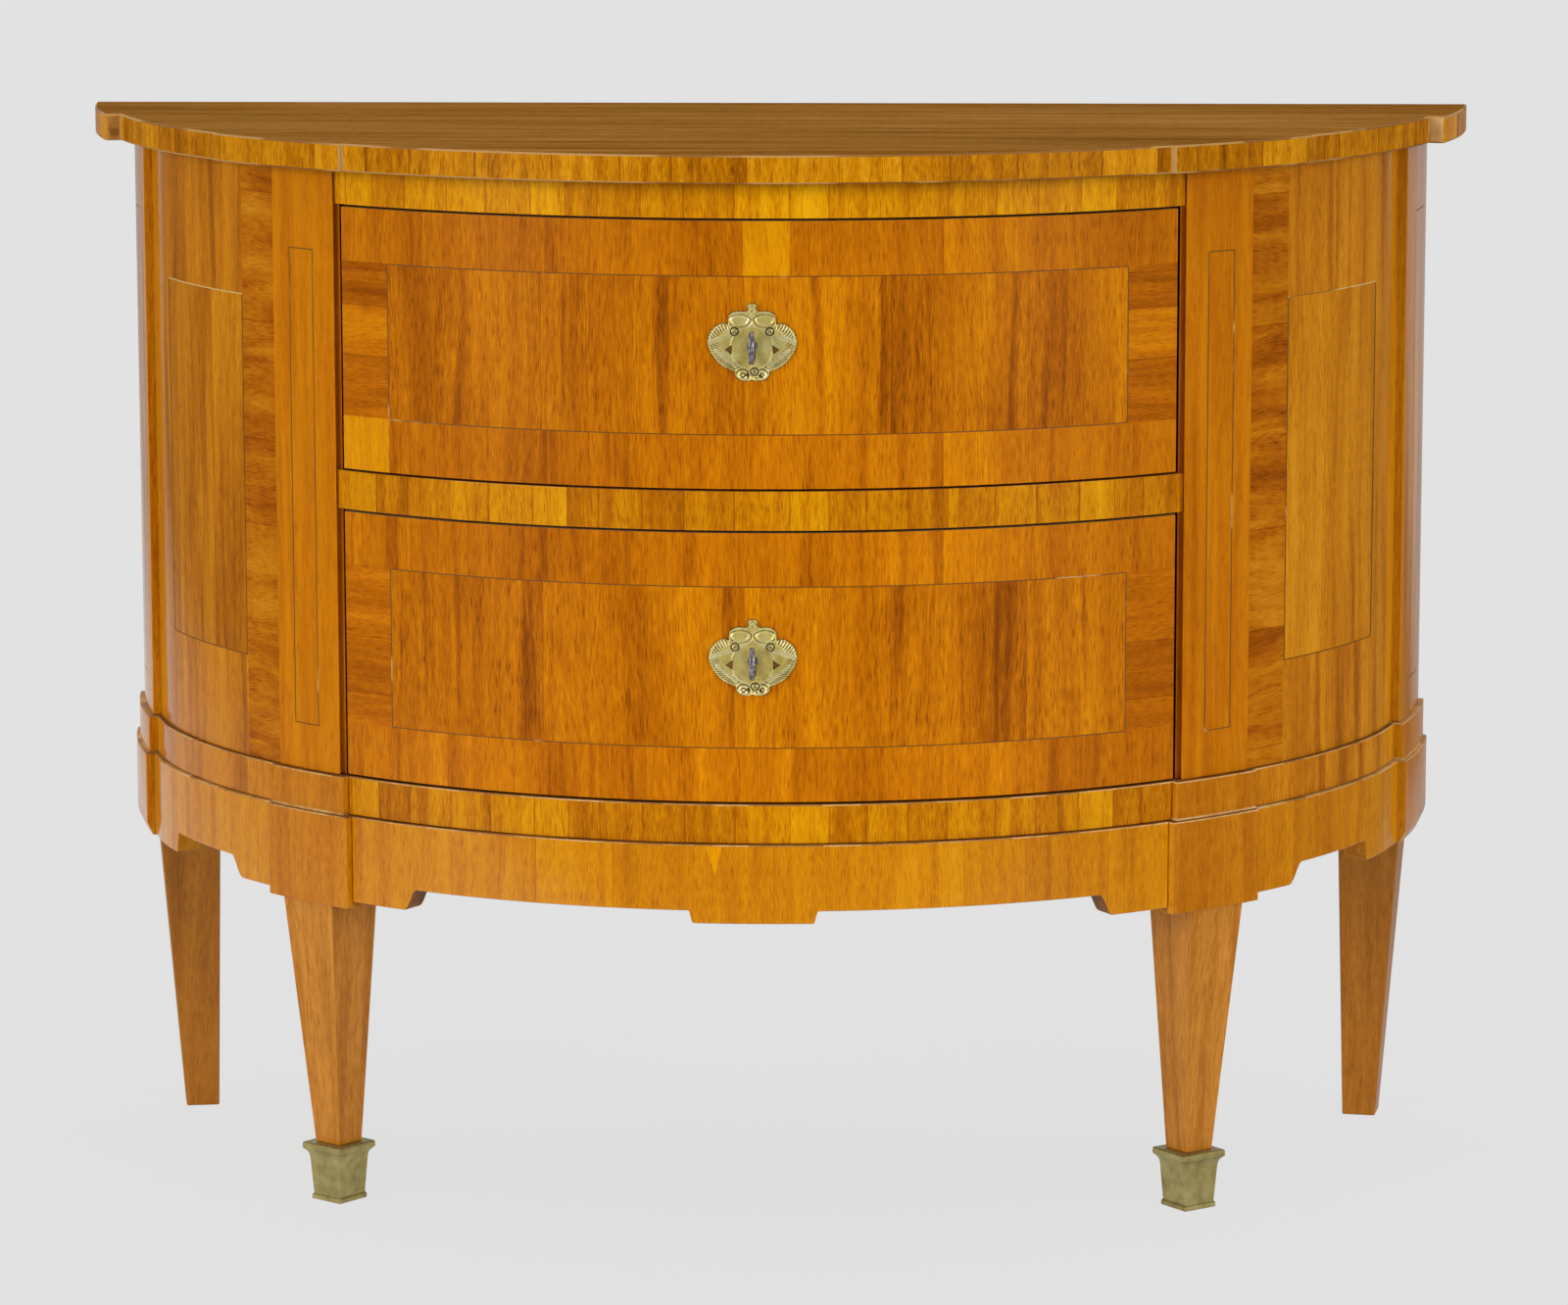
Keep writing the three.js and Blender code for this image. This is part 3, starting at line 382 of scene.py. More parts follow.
looks = {
    # broad brown streaks in orange, from flat-sawn sheets
    "field": veneer("Cherry veneer French polished", dark="#7c3c00", low="#ab5c00", mid="#c77600",
                    light="#e89c00", sheet=128, seed=3.1, veinDepth=0.25),
    # as orange as the fields and a little calmer
    "band": veneer("Cherry banding French polished", dark="#8c4400", low="#b06000", mid="#c87500",
                   light="#e69600", sheet=96, tone=0.18, seed=8.4, veinDepth=0.17),
    # short grain that runs across, light and dark pieces in turn
    "end": veneer("Cherry cross banding French polished", dark="#8a4400", low="#a95a00", mid="#c16c00",
                  light="#d98a00", grain="across", sheet=43, tone=0.3, seed=5.7, joint=0.25,
                  rows=((13, 10, 2, 0.5), (5, 14, 3, 0.45), (1.4, 5, 2, 0.5), (14, 1.4, 2, 0.12))),
    # clear yellow with hardly a streak
    "pale": veneer("Satin walnut patch French polished", dark="#b36a00", low="#cf8200", mid="#e09600",
                   light="#f0ac1e", sheet=300, tone=0.05, seed=1.0,
                   rows=((12, 14, 2, 0.35), (4, 14, 3, 0.35), (1.4, 6, 2, 0.4))),
    # narrow upright strips, yellow beside brown
    "rail": veneer("Cherry rail veneer French polished", dark="#8e4c00", low="#b56a00", mid="#ce8800",
                   light="#e4a408", **railLook),
    # the same strips painted lighter, against the shade that the top board casts on them
    "topRail": veneer("Cherry top rail veneer painted lighter against shade", dark="#a05c00", low="#c87c00", mid="#e29c00",
                      light="#f4b610", **railLook),
    # plain amber on the narrow returns
    "reveal": veneer("Cherry edge strips French polished", dark="#9a5400", low="#bc7408", mid="#d08a18",
                     light="#e0a034", lay="post", sheet=400, tone=0.0, seed=11.0, coat=0.3),
    # one quiet upright strip of straight grain
    "stile": veneer("Cherry stile veneer French polished", dark="#9a5200", low="#b86600", mid="#ca7a00",
                    light="#d88a00", sheet=400, tone=0.05, seed=6.3, poreDepth=0.18,
                    rows=((16, 24, 2, 0.5), (6, 22, 3, 0.4), (1.4, 12, 2, 0.4))),
    # brown ripples that lie across and curl
    "cross": veneer("Cherry fiddleback French polished", dark="#7c3800", low="#a85a00", mid="#bf7404",
                    light="#d49020", grain="across", sheet=88, tone=0.2, seed=4.6, joint=0.2,
                    wander=16, wanderLength=75,
                    rows=((20, 5, 2, 0.85), (7, 8, 3, 0.4), (1.4, 7, 2, 0.4), (14, 1.4, 2, 0.1))),
    # dark and light bands under a full gloss that mirrors the room
    "side": veneer("Cherry side veneer French polished", dark="#925000", low="#b96d04", mid="#d0840a",
                   light="#e09c20", sheet=150, tone=0.2, seed=9.9, **sideLook),
    # the same in narrower sheets, a shade more golden
    "sideField": veneer("Cherry side panel French polished", dark="#8e4c00", low="#b46a00", mid="#ce8408",
                        light="#e0a01e", sheet=75, tone=0.22, seed=7.7, **sideLook),
    # soft golden streaks under a full gloss
    "apron": veneer("Cherry apron veneer French polished", dark="#a05a00", low="#be7200", mid="#d08800",
                    light="#e09e1c", sheet=68, tone=0.2, seed=12.5, coat=0.9, rows=apronRows),
    # one even piece, browner than the aprons
    "block": veneer("Cherry block veneer French polished", dark="#9a5400", low="#b66a04", mid="#c67c0c",
                    light="#d69222", sheet=200, tone=0.1, seed=14.2, coat=0.7, rows=apronRows),
    # short upright strips with plain joints and little gloss
    "edge": veneer("Cherry edge veneer French polished", dark="#7c4000", low="#ac6800", mid="#ca8406",
                   light="#e2a41c", sheet=52, tone=0.26, seed=16.8, joint=0.35, coat=0.15,
                   rows=((13, 12, 2, 0.5), (5, 12, 3, 0.5), (1.4, 5, 2, 0.5), (14, 1.4, 2, 0.12))),
    # dull brown, its grain running the width of the chest
    "top": veneer("Cherry top veneer waxed", dark="#6e4208", low="#865820", mid="#9a6a30", light="#ac7c40",
                  lay="top", sheet=170, tone=0.12, seed=18.1, specular=0.0, rough=(0.5, 0.6), coat=0.0,
                  wander=14, wanderLength=420,
                  rows=((30, 18, 2, 0.75), (9, 24, 3, 0.65), (3.2, 20, 2, 0.5), (1.6, 12, 1, 0.45))),
    # solid wood in warm light brown with a soft sheen
    "leg": veneer("Cherry front leg wood waxed", dark="#935610", low="#ae6c1a", mid="#c4802c",
                  light="#d6933a", **legLook),
    # the same wood painted browner, as painted shade under the case
    "rearLeg": veneer("Cherry rear leg wood waxed, painted in shade", dark="#824a0c", low="#985c14", mid="#aa6a1c",
                      light="#ba7c2a", **legLook),
    # pale dry wood where the polish has gone from the corners, and a painted highlight on the ledges and
    # edge steps that catch the light
    "wearAndHighlight": veneer("Cherry edge rubbed bare, painted highlight", dark="#8a5a24", low="#b07c3c", mid="#c89a5c", light="#dcb880",
                   sheet=30, tone=0.5, seed=23.0, coat=0.1, coatRough=0.4),
    # a thin brown line let into the veneer, pale where the glue line has opened
    "string": wornLine("Dark string inlay", "#6a4406", "#b8955a", share=0.62, wear=52.0),
    "paleString": wornLine("Dark string inlay opened", "#8a6020", "#c8ad70", share=0.38, wear=40.0),
    # a soft lighter line along the eased edge: a painted highlight, mottled where hands have rubbed
    "arrisHighlight": wornLine("Cherry edge painted highlight, rubbed by hands", "#8e5c1c", "#b4884a", share=0.46, wear=90.0),
    # pale brown boards with faint rings: across the case, then from front to back
    "bare": bareWood("Spruce planed bare", *bareShades),
    "bareSide": bareWood("Spruce drawer sides planed bare", *bareShades, seed=2.0, lay="Y"),
    # the ground of the case darkened with stain: edges, posts from behind, the back itself
    "edgeGrain": bareWood("Spruce edge stained", "#5a3410", "#7c4a18", "#935e26", rough=0.6, seed=3.0),
    "postBack": bareWood("Spruce post back stained", "#5a3812", "#774a1c", "#8c5e2a", rough=0.6, seed=4.0,
                         lay="Z"),
    "oldBack": bareWood("Spruce back darkened", "#5e4226", "#7d5c38", "#94714a", width=8, seed=5.0, lay="Z"),
    # greenish yellow and half dull, as cast brass grows with age
    "brass": metal("Brass cast and rubbed", "#887a44", "#a0925a", "#b0a26a", (0.36, 0.52), spot=12.0,
                   metallic=0.7),
    # straw yellow sheet, brighter on its ridges, nearly black with tarnish in its hollows and painted dark
    # as shade on its steep sides
    "plate": metal("Brass plate engraved", "#b9a34e", "#d5c16c", "#e3d48e", (0.34, 0.5), spot=9.0,
                   metallic=0.5, relief=0.03),
    "plateRubbed": metal("Brass ridges rubbed bright", "#cbbb7c", "#e0d294", "#f4eab4", (0.26, 0.4),
                         spot=9.0, metallic=0.5, relief=0.03),
    "plateTarnishAndShade": metal("Brass hollows tarnished, steep sides painted shade", "#2e2206", "#523e12", "#745e26", (0.45, 0.6),
                            spot=5.0, metallic=0.5, relief=0.03),
    "screwHead": metal("Brass screw heads", "#8c7c42", "#b8a868", "#d8cc98", (0.3, 0.45), spot=2.0,
                       metallic=0.5),
    # grey with bright rubbed places, then nearly black iron
    "steel": metal("Steel filed and rubbed", "#4c4648", "#7c7478", "#c4bec0", (0.3, 0.45), spot=3.0,
                   metallic=0.6),
    "lockSteel": metal("Iron lock plate aged", "#2e2a26", "#4a443e", "#6b645c", (0.45, 0.65), spot=7.0),
}
print("materials made:", len(looks))


# Objects and meshes
def newObject(name, data):
    made = bpy.data.objects.new(name, data)
    bpy.context.scene.collection.objects.link(made)
    return made


looksOut = 0.7         # a face lies on the bow if it turns outward at least this much
veneerThick = 1 * mm


def placeOf(face):
    # a face's middle, how far it stands off the bow and how much it looks outward
    c = face.calc_center_median()
    radius = math.hypot(c.x, centreY - c.y)
    outward = (face.normal.x * c.x - face.normal.y * (centreY - c.y)) / radius
    return c, radius - bow["radius"], outward


def newPiece(name, bm, wanted, body, nodes=(), rule=None, bevel=0.0, segments=2, sharp=35,
             arrisHighlight=None):
    # bmesh to object: the rule names each face's look, edges are softened, then it is hung on its body
    bmesh.ops.remove_doubles(bm, verts=bm.verts, dist=0.01 * mm)
    bmesh.ops.recalc_face_normals(bm, faces=bm.faces)
    for face in bm.faces:
        face.smooth = True
        if rule:
            face.material_index = wanted.index(rule(*placeOf(face), face.normal))
    mesh = bpy.data.meshes.new(name)
    bm.to_mesh(mesh)
    bm.free()
    for look in wanted:
        mesh.materials.append(looks[look])
    mesh.set_sharp_from_angle(angle=math.radians(sharp))
    piece = newObject(name, mesh)
    if bevel:
        eased = piece.modifiers.new("eased edges", "BEVEL")
        eased.width = bevel
        eased.segments = segments
        eased.limit_method = "ANGLE"
        eased.angle_limit = math.radians(sharp)
        eased.harden_normals = True
        eased.material = wanted.index(arrisHighlight) if arrisHighlight else -1
    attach(piece, body)
    if nodes:
        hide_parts(*nodes)


def loft(rings):
    # closed skin over rings of equal count, each a list of (x, y, z)
    bm = bmesh.new()
    made = [[bm.verts.new(point) for point in ring] for ring in rings]
    count = len(rings[0])
    bm.faces.new(made[0])
    bm.faces.new(made[-1])
    for low, high in zip(made, made[1:]):
        for i in range(count):
            j = (i + 1) % count
            bm.faces.new((low[i], low[j], high[j], high[i]))
    bmesh.ops.recalc_face_normals(bm, faces=bm.faces)
    return bm


def prism(outline, heights):
    return loft([[(x, y, z) for x, y in outline] for z in heights])


def box(low, high):
    (x0, y0, z0), (x1, y1, z1) = low, high
    return prism([(x0, y0), (x1, y0), (x1, y1), (x0, y1)], (z0, z1))


def turned(profile, x, z, count):
    # a solid turned about a line from front to back; the profile is (radius, y)
    turns = [2 * math.pi * i / count for i in range(count)]
    return loft([[(x + radius * math.cos(t), y, z + radius * math.sin(t)) for t in turns]
                 for radius, y in profile])


def rod(radius, x, z, frontY, backY, count=32):
    return turned(((radius, frontY), (radius, backY)), x, z, count)


def combine(bm, others, operation="DIFFERENCE"):
    # joins solids to one, or cuts them out of it
    def temporary(solid):
        mesh = bpy.data.meshes.new("temporary")
        solid.to_mesh(mesh)
        solid.free()
        return newObject("temporary", mesh)
    base = temporary(bm)
    tools = [temporary(other) for other in others]
    for tool in tools:
        step = base.modifiers.new("step", "BOOLEAN")
        step.object = tool
        step.operation = operation
        step.solver = "EXACT"
    ready = base.evaluated_get(bpy.context.evaluated_depsgraph_get())
    result = bmesh.new()
    result.from_mesh(ready.to_mesh())
    for made in [base] + tools:
        mesh = made.data
        bpy.data.objects.remove(made)
        bpy.data.meshes.remove(mesh)
    return result


def near(value, lines, half):
    return any(abs(value - line) < half for line in lines)


# Top board
board = {"overhang": 24 * mm, "stileProud": 3.5 * mm, "innerMargin": 7 * mm, "outerMargin": 49 * mm,
         "rearOverhang": 37 * mm, "rearDepth": 132 * mm, "rearCorner": 5 * mm, "ease": 1.4 * mm}


def topBoard():
    innerAngle = angleAtX(openingX - board["innerMargin"], board["overhang"])
    outerAngle = angleAtX(stileOuterX + board["outerMargin"], board["overhang"])
    rearAngle = angleAtDepth(board["rearDepth"], board["overhang"])
    proud = board["overhang"] + board["stileProud"]
    wall = angleAtDepth(0, board["rearOverhang"])
    half = (arc(board["overhang"], 0, innerAngle) + arc(proud, innerAngle, outerAngle)
            + arc(board["overhang"], outerAngle, rearAngle))
    corner = len(half)
    half += arc(board["rearOverhang"], rearAngle, wall)
    half = roundCorner(half, corner, board["rearCorner"])
    outline = sided(half[1:], -1) + half
    return prism(outline, (bottomOf("top_board"), topOf("top_board")))


def boardRule(c, off, out, normal):
    # figure on top, strips round the edge, the little faces of each break rubbed pale and painted as
    # highlight
    if normal.z > 0.5:
        return "top"
    if normal.z < -0.5 or normal.y > 0.9:
        return "edgeGrain"
    return "edge" if out > looksOut else "wearAndHighlight"


# the eased edges of the top board take a pale line as painted highlight
newPiece("top_board_veneered", topBoard(), ("top", "edge", "edgeGrain", "wearAndHighlight", "arrisHighlight"), "carcass",
         ("top_board",), boardRule, bevel=board["ease"], segments=3, arrisHighlight="arrisHighlight")
print("top board made")


# Stiles, rear pilasters and side panels
stringWidth = 0.9 * mm
panels = {"stileX": (354.5 * mm, 375 * mm), "stileZ": (397 * mm, 780 * mm),
          "sideX": (420 * mm, 496 * mm), "sideZ": (443 * mm, 737 * mm), "sideThick": 18 * mm,
          "postShares": (0.3, 0.7), "postZ": (392 * mm, 786 * mm), "ease": 0.8 * mm}


def edgesOf(places):
    # both edges of a string at each place
    return [p + s * stringWidth / 2 for p in places for s in (-1, 1)]


def within(value, lines, half):
    return lines[0] - half < value < lines[-1] + half


def onString(across, z, linesAcross, linesZ, half=stringWidth / 2):
    # on one of the four strings round a panel; places across may be angles, with half as an angle too
    return (near(across, linesAcross, half) and within(z, linesZ, stringWidth / 2)
            or near(z, linesZ, stringWidth / 2) and within(across, linesAcross, half))


def frontStile(side):
    edges = [angleAtX(x, posts["stileProud"]) for x in edgesOf(panels["stileX"])]
    points = [onBow(-posts["stripBack"], angleAtX(openingX, -posts["stripBack"])),
              onBow(-posts["stripBack"], angleAtX(stileInnerX, -posts["stripBack"]))]
    points += arc(posts["stileProud"], angleAtX(stileInnerX, posts["stileProud"]), stileAngle, edges)
    points += [onBow(-posts["depth"], stileAngle),
               onBow(-posts["depth"], angleAtX(openingX, -posts["depth"]))]
    return prism(sided(points, side), levels(caseLow, caseHigh, edgesOf(panels["stileZ"])))


def stileRule(c, off, out, normal):
    if out < looksOut or off < posts["stileProud"] - veneerThick:
        return "postBack" if off < -posts["veneered"] else "stile"
    return "string" if onString(abs(c.x), c.z, panels["stileX"], panels["stileZ"]) else "stile"


def innerCorners(innerX, frontAngle):
    # the corners of a rear post inside the case: at the wall, then in line with its front
    return [(innerX, wallY), (innerX, centreY - innerX / math.tan(frontAngle))]


postAngles = [pilasterAngle + (angleAtDepth(0, posts["pilasterProud"]) - pilasterAngle) * share
              for share in panels["postShares"]]


def rearPilaster(side):
    edges = [a + s * stringWidth / 2 / bow["radius"] for a in postAngles for s in (-1, 1)]
    points = arc(posts["pilasterProud"], pilasterAngle, angleAtDepth(0, posts["pilasterProud"]), edges)
    points += innerCorners(postInnerX, pilasterAngle)
    return prism(sided(points, side), levels(caseLow, caseHigh, edgesOf(panels["postZ"])))


def pilasterRule(c, off, out, normal):
    if normal.y < -looksOut:
        return "reveal"
    if out < looksOut or off < 0:
        return "postBack" if off < -posts["veneered"] or normal.y > 0.9 else "side"
    angle = math.atan2(abs(c.x), centreY - c.y)
    half = stringWidth / 2 / bow["radius"]
    return "string" if onString(angle, c.z, postAngles, panels["postZ"], half) else "side"


# The sides draw in a little before they meet the rear pilasters
drawIn = {"reach": math.radians(7), "depth": 2.5 * mm}


def drawn(offset, angle):
    t = clamp(1 - (pilasterAngle - angle) / drawIn["reach"])
    return onBow(offset - drawIn["depth"] * smooth(t), angle)


def drawnArc(offset, start, end, extra=()):
    return [drawn(offset, angle) for angle in steps(start, end, extra)]


def sidePanel(side):
    edges = [angleAtX(x) for x in edgesOf(panels["sideX"])]
    start, end = stileAngle + seatAngle, pilasterAngle - seatAngle
    points = drawnArc(0, start, end, edges) + arc(-panels["sideThick"], end, start)
    return prism(sided(points, side), levels(caseLow, caseHigh, edgesOf(panels["sideZ"])))


def sideRule(c, off, out, normal):
    if out < looksOut:
        return "bare"
    x, half = abs(c.x), stringWidth / 2
    if onString(x, c.z, panels["sideX"], panels["sideZ"]):
        # the upper string has opened
        return "paleString" if near(c.z, panels["sideZ"][1:], half) else "string"
    if x < panels["sideX"][0]:
        return "cross"
    inside = within(x, panels["sideX"], half) and within(c.z, panels["sideZ"], half)
    return "sideField" if inside else "side"


for name, side in sides:
    for node, solid, wood, rule, ease in (
            (f"front_stile_{name}", frontStile(side), ("stile", "string", "postBack"), stileRule,
             panels["ease"]),
            (f"rear_pilaster_{name}", rearPilaster(side), ("side", "string", "postBack", "reveal"),
             pilasterRule, panels["ease"]),
            (f"side_panel_{name}", sidePanel(side),
             ("cross", "side", "sideField", "string", "paleString", "bare"), sideRule, 0)):
        newPiece(f"{node}_veneered", solid, wood, "carcass", (node,), rule, bevel=ease)
print("stiles, pilasters and side panels made")


# Rails
railShape = {"depth": 55 * mm, "ear": 2.7 * mm, "ease": 0.6 * mm}
drawerFace = {"thick": 24 * mm, "gap": 1.8 * mm}
lockShape = {"halfWidth": 34 * mm, "below": 28 * mm, "above": 32 * mm, "depth": 12 * mm, "wall": 1.5 * mm,
             "barHalf": 6 * mm, "clearance": 1 * mm, "throw": 8 * mm, "mortiseSpare": 4 * mm,
             "boltThick": 4 * mm, "hole": 4.2 * mm, "slotHalf": 2.6 * mm, "slotDrop": 11.5 * mm}
boltBackY = faceY + drawerFace["thick"] - lockShape["wall"] - seatGap
boltFrontY = boltBackY - lockShape["boltThick"]


def rail(low, high):
    bodyX, earX = openingX - seatGap, stileInnerX - seatGap
    back, ear = -railShape["depth"], -railShape["ear"]
    right = [onBow(ear, angleAtX(earX, ear)), onBow(ear, angleAtX(bodyX, ear))]
    points = arc(0, -angleAtX(earX), angleAtX(earX)) + right
    points += arc(back, angleAtX(bodyX, back), -angleAtX(bodyX, back)) + sided(right, -1)
    bar = lockShape["barHalf"] + lockShape["clearance"]
    mortise = box((-bar, boltFrontY - lockShape["clearance"], low - cutPast),
                  (bar, boltBackY + lockShape["clearance"],
                   low + lockShape["throw"] + lockShape["mortiseSpare"]))
    return combine(prism(points, (low, high)), [mortise])


def railRule(wood):
    def rule(c, off, out, normal):
        return wood if out > looksOut and off > -veneerThick else "edgeGrain"
    return rule


# the top rail takes the lighter look: painted light against the shade under the top board
for name, wood in (("top", "topRail"), ("middle", "rail")):
    node = f"{name}_rail"
    newPiece(f"{node}_veneered", rail(bottomOf(node), topOf(node)), (wood, "edgeGrain"), "carcass",
             (node,), railRule(wood), bevel=railShape["ease"])
print("rails made")


# Base: upper step, aprons and leg blocks
# The rubbed row along each step's upper edge is rubbed wood with a painted highlight; its height is kept
# here
base = {"band": 4 * mm, "centreBand": 1.5 * mm, "blockBand": 8 * mm, "blockBandInset": 3 * mm,
        "block": 11.5 * mm, "blockInner": 1 * mm, "blockOuter": 12 * mm, "blockLedge": 17 * mm,
        "apron": 7.5 * mm, "centreApron": 5.5 * mm, "apronThick": 21.5 * mm, "legHeight": 253 * mm,
        "blockHigh": 75 * mm, "lapBelow": 4 * mm, "lapAbove": 2 * mm, "ledge": 9 * mm,
        "rearDeeper": 3 * mm, "wearAndHighlight": 1.3 * mm, "ease": 0.9 * mm}
blockTop = base["legHeight"] + base["blockHigh"]
bandTop = topOf("base_band_centre")
bandLow = bottomOf("base_band_centre")
blockInner = angleAtX(openingX - base["blockInner"], base["block"])
blockOuter = angleAtX(stileOuterX + base["blockOuter"], base["block"])
blockBandInner = angleAtX(openingX - base["blockInner"] + base["blockBandInset"], base["blockBand"])
rearBlockAngle = angleAtDepth(posts["pilasterDepth"] + base["rearDeeper"], 0)
# the upper step of a block reaches down into the lower one, so that the two join to one solid
upperLevels = (blockTop - base["lapBelow"], blockTop + base["lapAbove"], bandTop - base["wearAndHighlight"], bandTop)


def stepRule(wood, ground, least):
    # wood on faces at least so far off the bow, rubbed and painted with a highlight along their upper edge
    # and on the ledge tops, and ground elsewhere
    def rule(c, off, out, normal):
        onFace = out > looksOut and off > least
        onReturn = normal.y < -0.5 and abs(out) < 0.5
        if abs(normal.z) < 0.6 and (onFace or onReturn):
            if near(c.z, (blockTop, bandTop), base["wearAndHighlight"]):
                return "wearAndHighlight"
            return wood if out > 0.5 else "reveal"
        return "wearAndHighlight" if normal.z > 0.7 and off > least - base["ledge"] else ground
    return rule


def frontLegBlock(side):
    lower = sector(base["block"], -posts["depth"] - base["blockLedge"], blockInner, blockOuter)
    upper = sector(base["blockBand"], -posts["depth"], blockBandInner, blockOuter)
    low = prism(sided(lower, side), (base["legHeight"], blockTop - base["wearAndHighlight"], blockTop))
    return combine(low, [prism(sided(upper, side), upperLevels)], "UNION")


def sideBand(side):
    start, end = blockOuter + seatAngle, rearBlockAngle - seatAngle
    points = drawnArc(base["band"], start, end) + arc(-posts["depth"], end, start)
    return prism(sided(points, side), (bandLow, bandTop - base["wearAndHighlight"], bandTop))


def centreBand():
    edge = blockBandInner - seatAngle
    points = sector(base["centreBand"], -posts["depth"], -edge, edge)
    return prism(points, (bandLow, bandTop - base["wearAndHighlight"], bandTop))


rearBlock = {"innerMargin": 14 * mm, "band": 4.5 * mm, "proud": 7.5 * mm, "rise": 4 * mm,
             "chamferHigh": 11 * mm, "chamferWide": 5 * mm}
rearBlockX = postInnerX - rearBlock["innerMargin"]


def rearLegBlock(side):
    low = base["legHeight"] + rearBlock["rise"]
    proud = posts["pilasterProud"] + rearBlock["proud"]
    count = 24

    def outline(offset, innerX):
        end = angleAtDepth(0, offset)
        angles = [rearBlockAngle + (end - rearBlockAngle) * i / count for i in range(count + 1)]
        return sided([onBow(offset, a) for a in angles] + innerCorners(innerX, rearBlockAngle), side)

    # the foot of the block is cut back
    rings = [[(x, y, low) for x, y in outline(proud - rearBlock["chamferWide"], rearBlockX)]]
    for z in (low + rearBlock["chamferHigh"], blockTop - base["wearAndHighlight"], blockTop):
        rings.append([(x, y, z) for x, y in outline(proud, rearBlockX)])
    points = outline(posts["pilasterProud"] + rearBlock["band"], postInnerX)
    return combine(loft(rings), [prism(points, upperLevels)], "UNION")


# Lower edge of an apron: places along the bow in mm, with the level there
apronEdge = {"low": 275 * mm, "bracket": 258 * mm, "tab": 265 * mm, "centreBracket": 53 * mm,
             "centreSlope": 11.5 * mm, "sideBracket": 44 * mm, "sideSlope": 16 * mm,
             "rearBracket": 82 * mm, "rearSlope": 5 * mm, "tabHalf": 50.5 * mm, "tabSlope": 3.5 * mm,
             "slopeSteps": 6}


def apron(offset, stations):
    places = []
    for (a, lowA), (b, lowB) in zip(stations, stations[1:]):
        # a slope is drawn as a short ogee, a level run in plain steps
        step = bow["radius"] * bow["arcStep"] if lowA == lowB else (b - a) / apronEdge["slopeSteps"]
        spread = steps(a, b, (), step)
        places += [(s, lowA + (lowB - lowA) * smooth((s - a) / (b - a))) for s in spread[:-1]]
    places.append(stations[-1])
    inner = offset - base["apronThick"]
    rings = []
    for s, low in places:
        angle = s / bow["radius"]
        x, y = drawn(offset, abs(angle))
        face, back = (math.copysign(x, angle), y), onBow(inner, angle)
        rings.append([(*back, low), (*back, blockTop), (*face, blockTop),
                      (*face, blockTop - base["wearAndHighlight"]), (*face, low)])
    return loft(rings)


def mirrored(stations):
    return [(-s, low) for s, low in reversed(stations)]


def centreApron():
    e = apronEdge
    end = blockInner * bow["radius"] - seatGap
    bracket = end - e["centreBracket"]
    right = [(e["tabHalf"] - e["tabSlope"], e["tab"]), (e["tabHalf"], e["low"]),
             (bracket - e["centreSlope"], e["low"]), (bracket, e["bracket"]), (end, e["bracket"])]
    return apron(base["centreApron"], mirrored(right) + right)


def sideApron(side):
    e = apronEdge
    start = blockOuter * bow["radius"] + seatGap
    end = rearBlockAngle * bow["radius"] - seatGap
    rear = end - e["rearBracket"]
    right = [(start, e["bracket"]), (start + e["sideBracket"], e["bracket"]),
             (start + e["sideBracket"] + e["sideSlope"], e["low"]), (rear - e["rearSlope"], e["low"]),
             (rear, e["bracket"]), (end, e["bracket"])]
    return apron(base["apron"], right if side > 0 else mirrored(right))


for name, side in sides:
    for node, solid, wood, ground, least in (
            (f"front_leg_block_{name}", frontLegBlock(side), "block", "edgeGrain", 5 * mm),
            (f"rear_leg_block_{name}", rearLegBlock(side), "block", "postBack", 3 * mm),
            (f"base_band_{name}", sideBand(side), "side", "edgeGrain", -base["ledge"]),
            (f"apron_{name}", sideApron(side), "apron", "edgeGrain", -base["ledge"])):
        newPiece(f"{node}_veneered", solid, (wood, "wearAndHighlight", ground, "reveal"), "carcass", (node,),
                 stepRule(wood, ground, least), bevel=base["ease"])
for node, solid, wood, least in (("base_band_centre", centreBand(), "rail", 0),
                                 ("apron_centre", centreApron(), "apron", 4 * mm)):
    newPiece(f"{node}_veneered", solid, (wood, "wearAndHighlight", "edgeGrain", "reveal"), "carcass",
             (node,), stepRule(wood, "edgeGrain", least), bevel=base["ease"])
print("base made")


# Legs and shoes; a shoe's profile is height and half width in mm
frontLeg = {"topHalf": 26.6 * mm, "footHalf": 13.2 * mm, "inset": 3.5 * mm, "footShift": 5.5 * mm,
            "turn": posts["openingAngle"], "ease": 1.2 * mm}
rearLeg = {"top": (27.4 * mm, 27.5 * mm), "foot": (14 * mm, 14 * mm), "topX": 508.7 * mm,
           "footX": 502.2 * mm, "setback": 2.2 * mm, "turn": math.radians(10)}
shoe = {"height": 48 * mm, "pocket": 12.3 * mm, "floor": 3 * mm, "ease": 0.5 * mm}
shoeProfile = ((0, 15.8), (3.2, 15.8), (4.0, 15.5), (4.6, 14.9), (5.0, 14.7), (20, 15.7), (34, 16.6),
               (37.5, 17.1), (40, 18.2), (41.6, 19.8), (42.6, 20.8), (43.2, 21), (46.8, 21), (47.6, 20.6),
               (48, 19.8))
legOffset = base["block"] - frontLeg["inset"] - frontLeg["topHalf"]


def turnedSquare(centre, half, turn, z, deep=None):
    deep = deep or half
    corners = ((-half, -deep), (half, -deep), (half, deep), (-half, deep))
    c, s = math.cos(turn), math.sin(turn)
    return [(centre[0] + x * c - y * s, centre[1] + x * s + y * c, z) for x, y in corners]


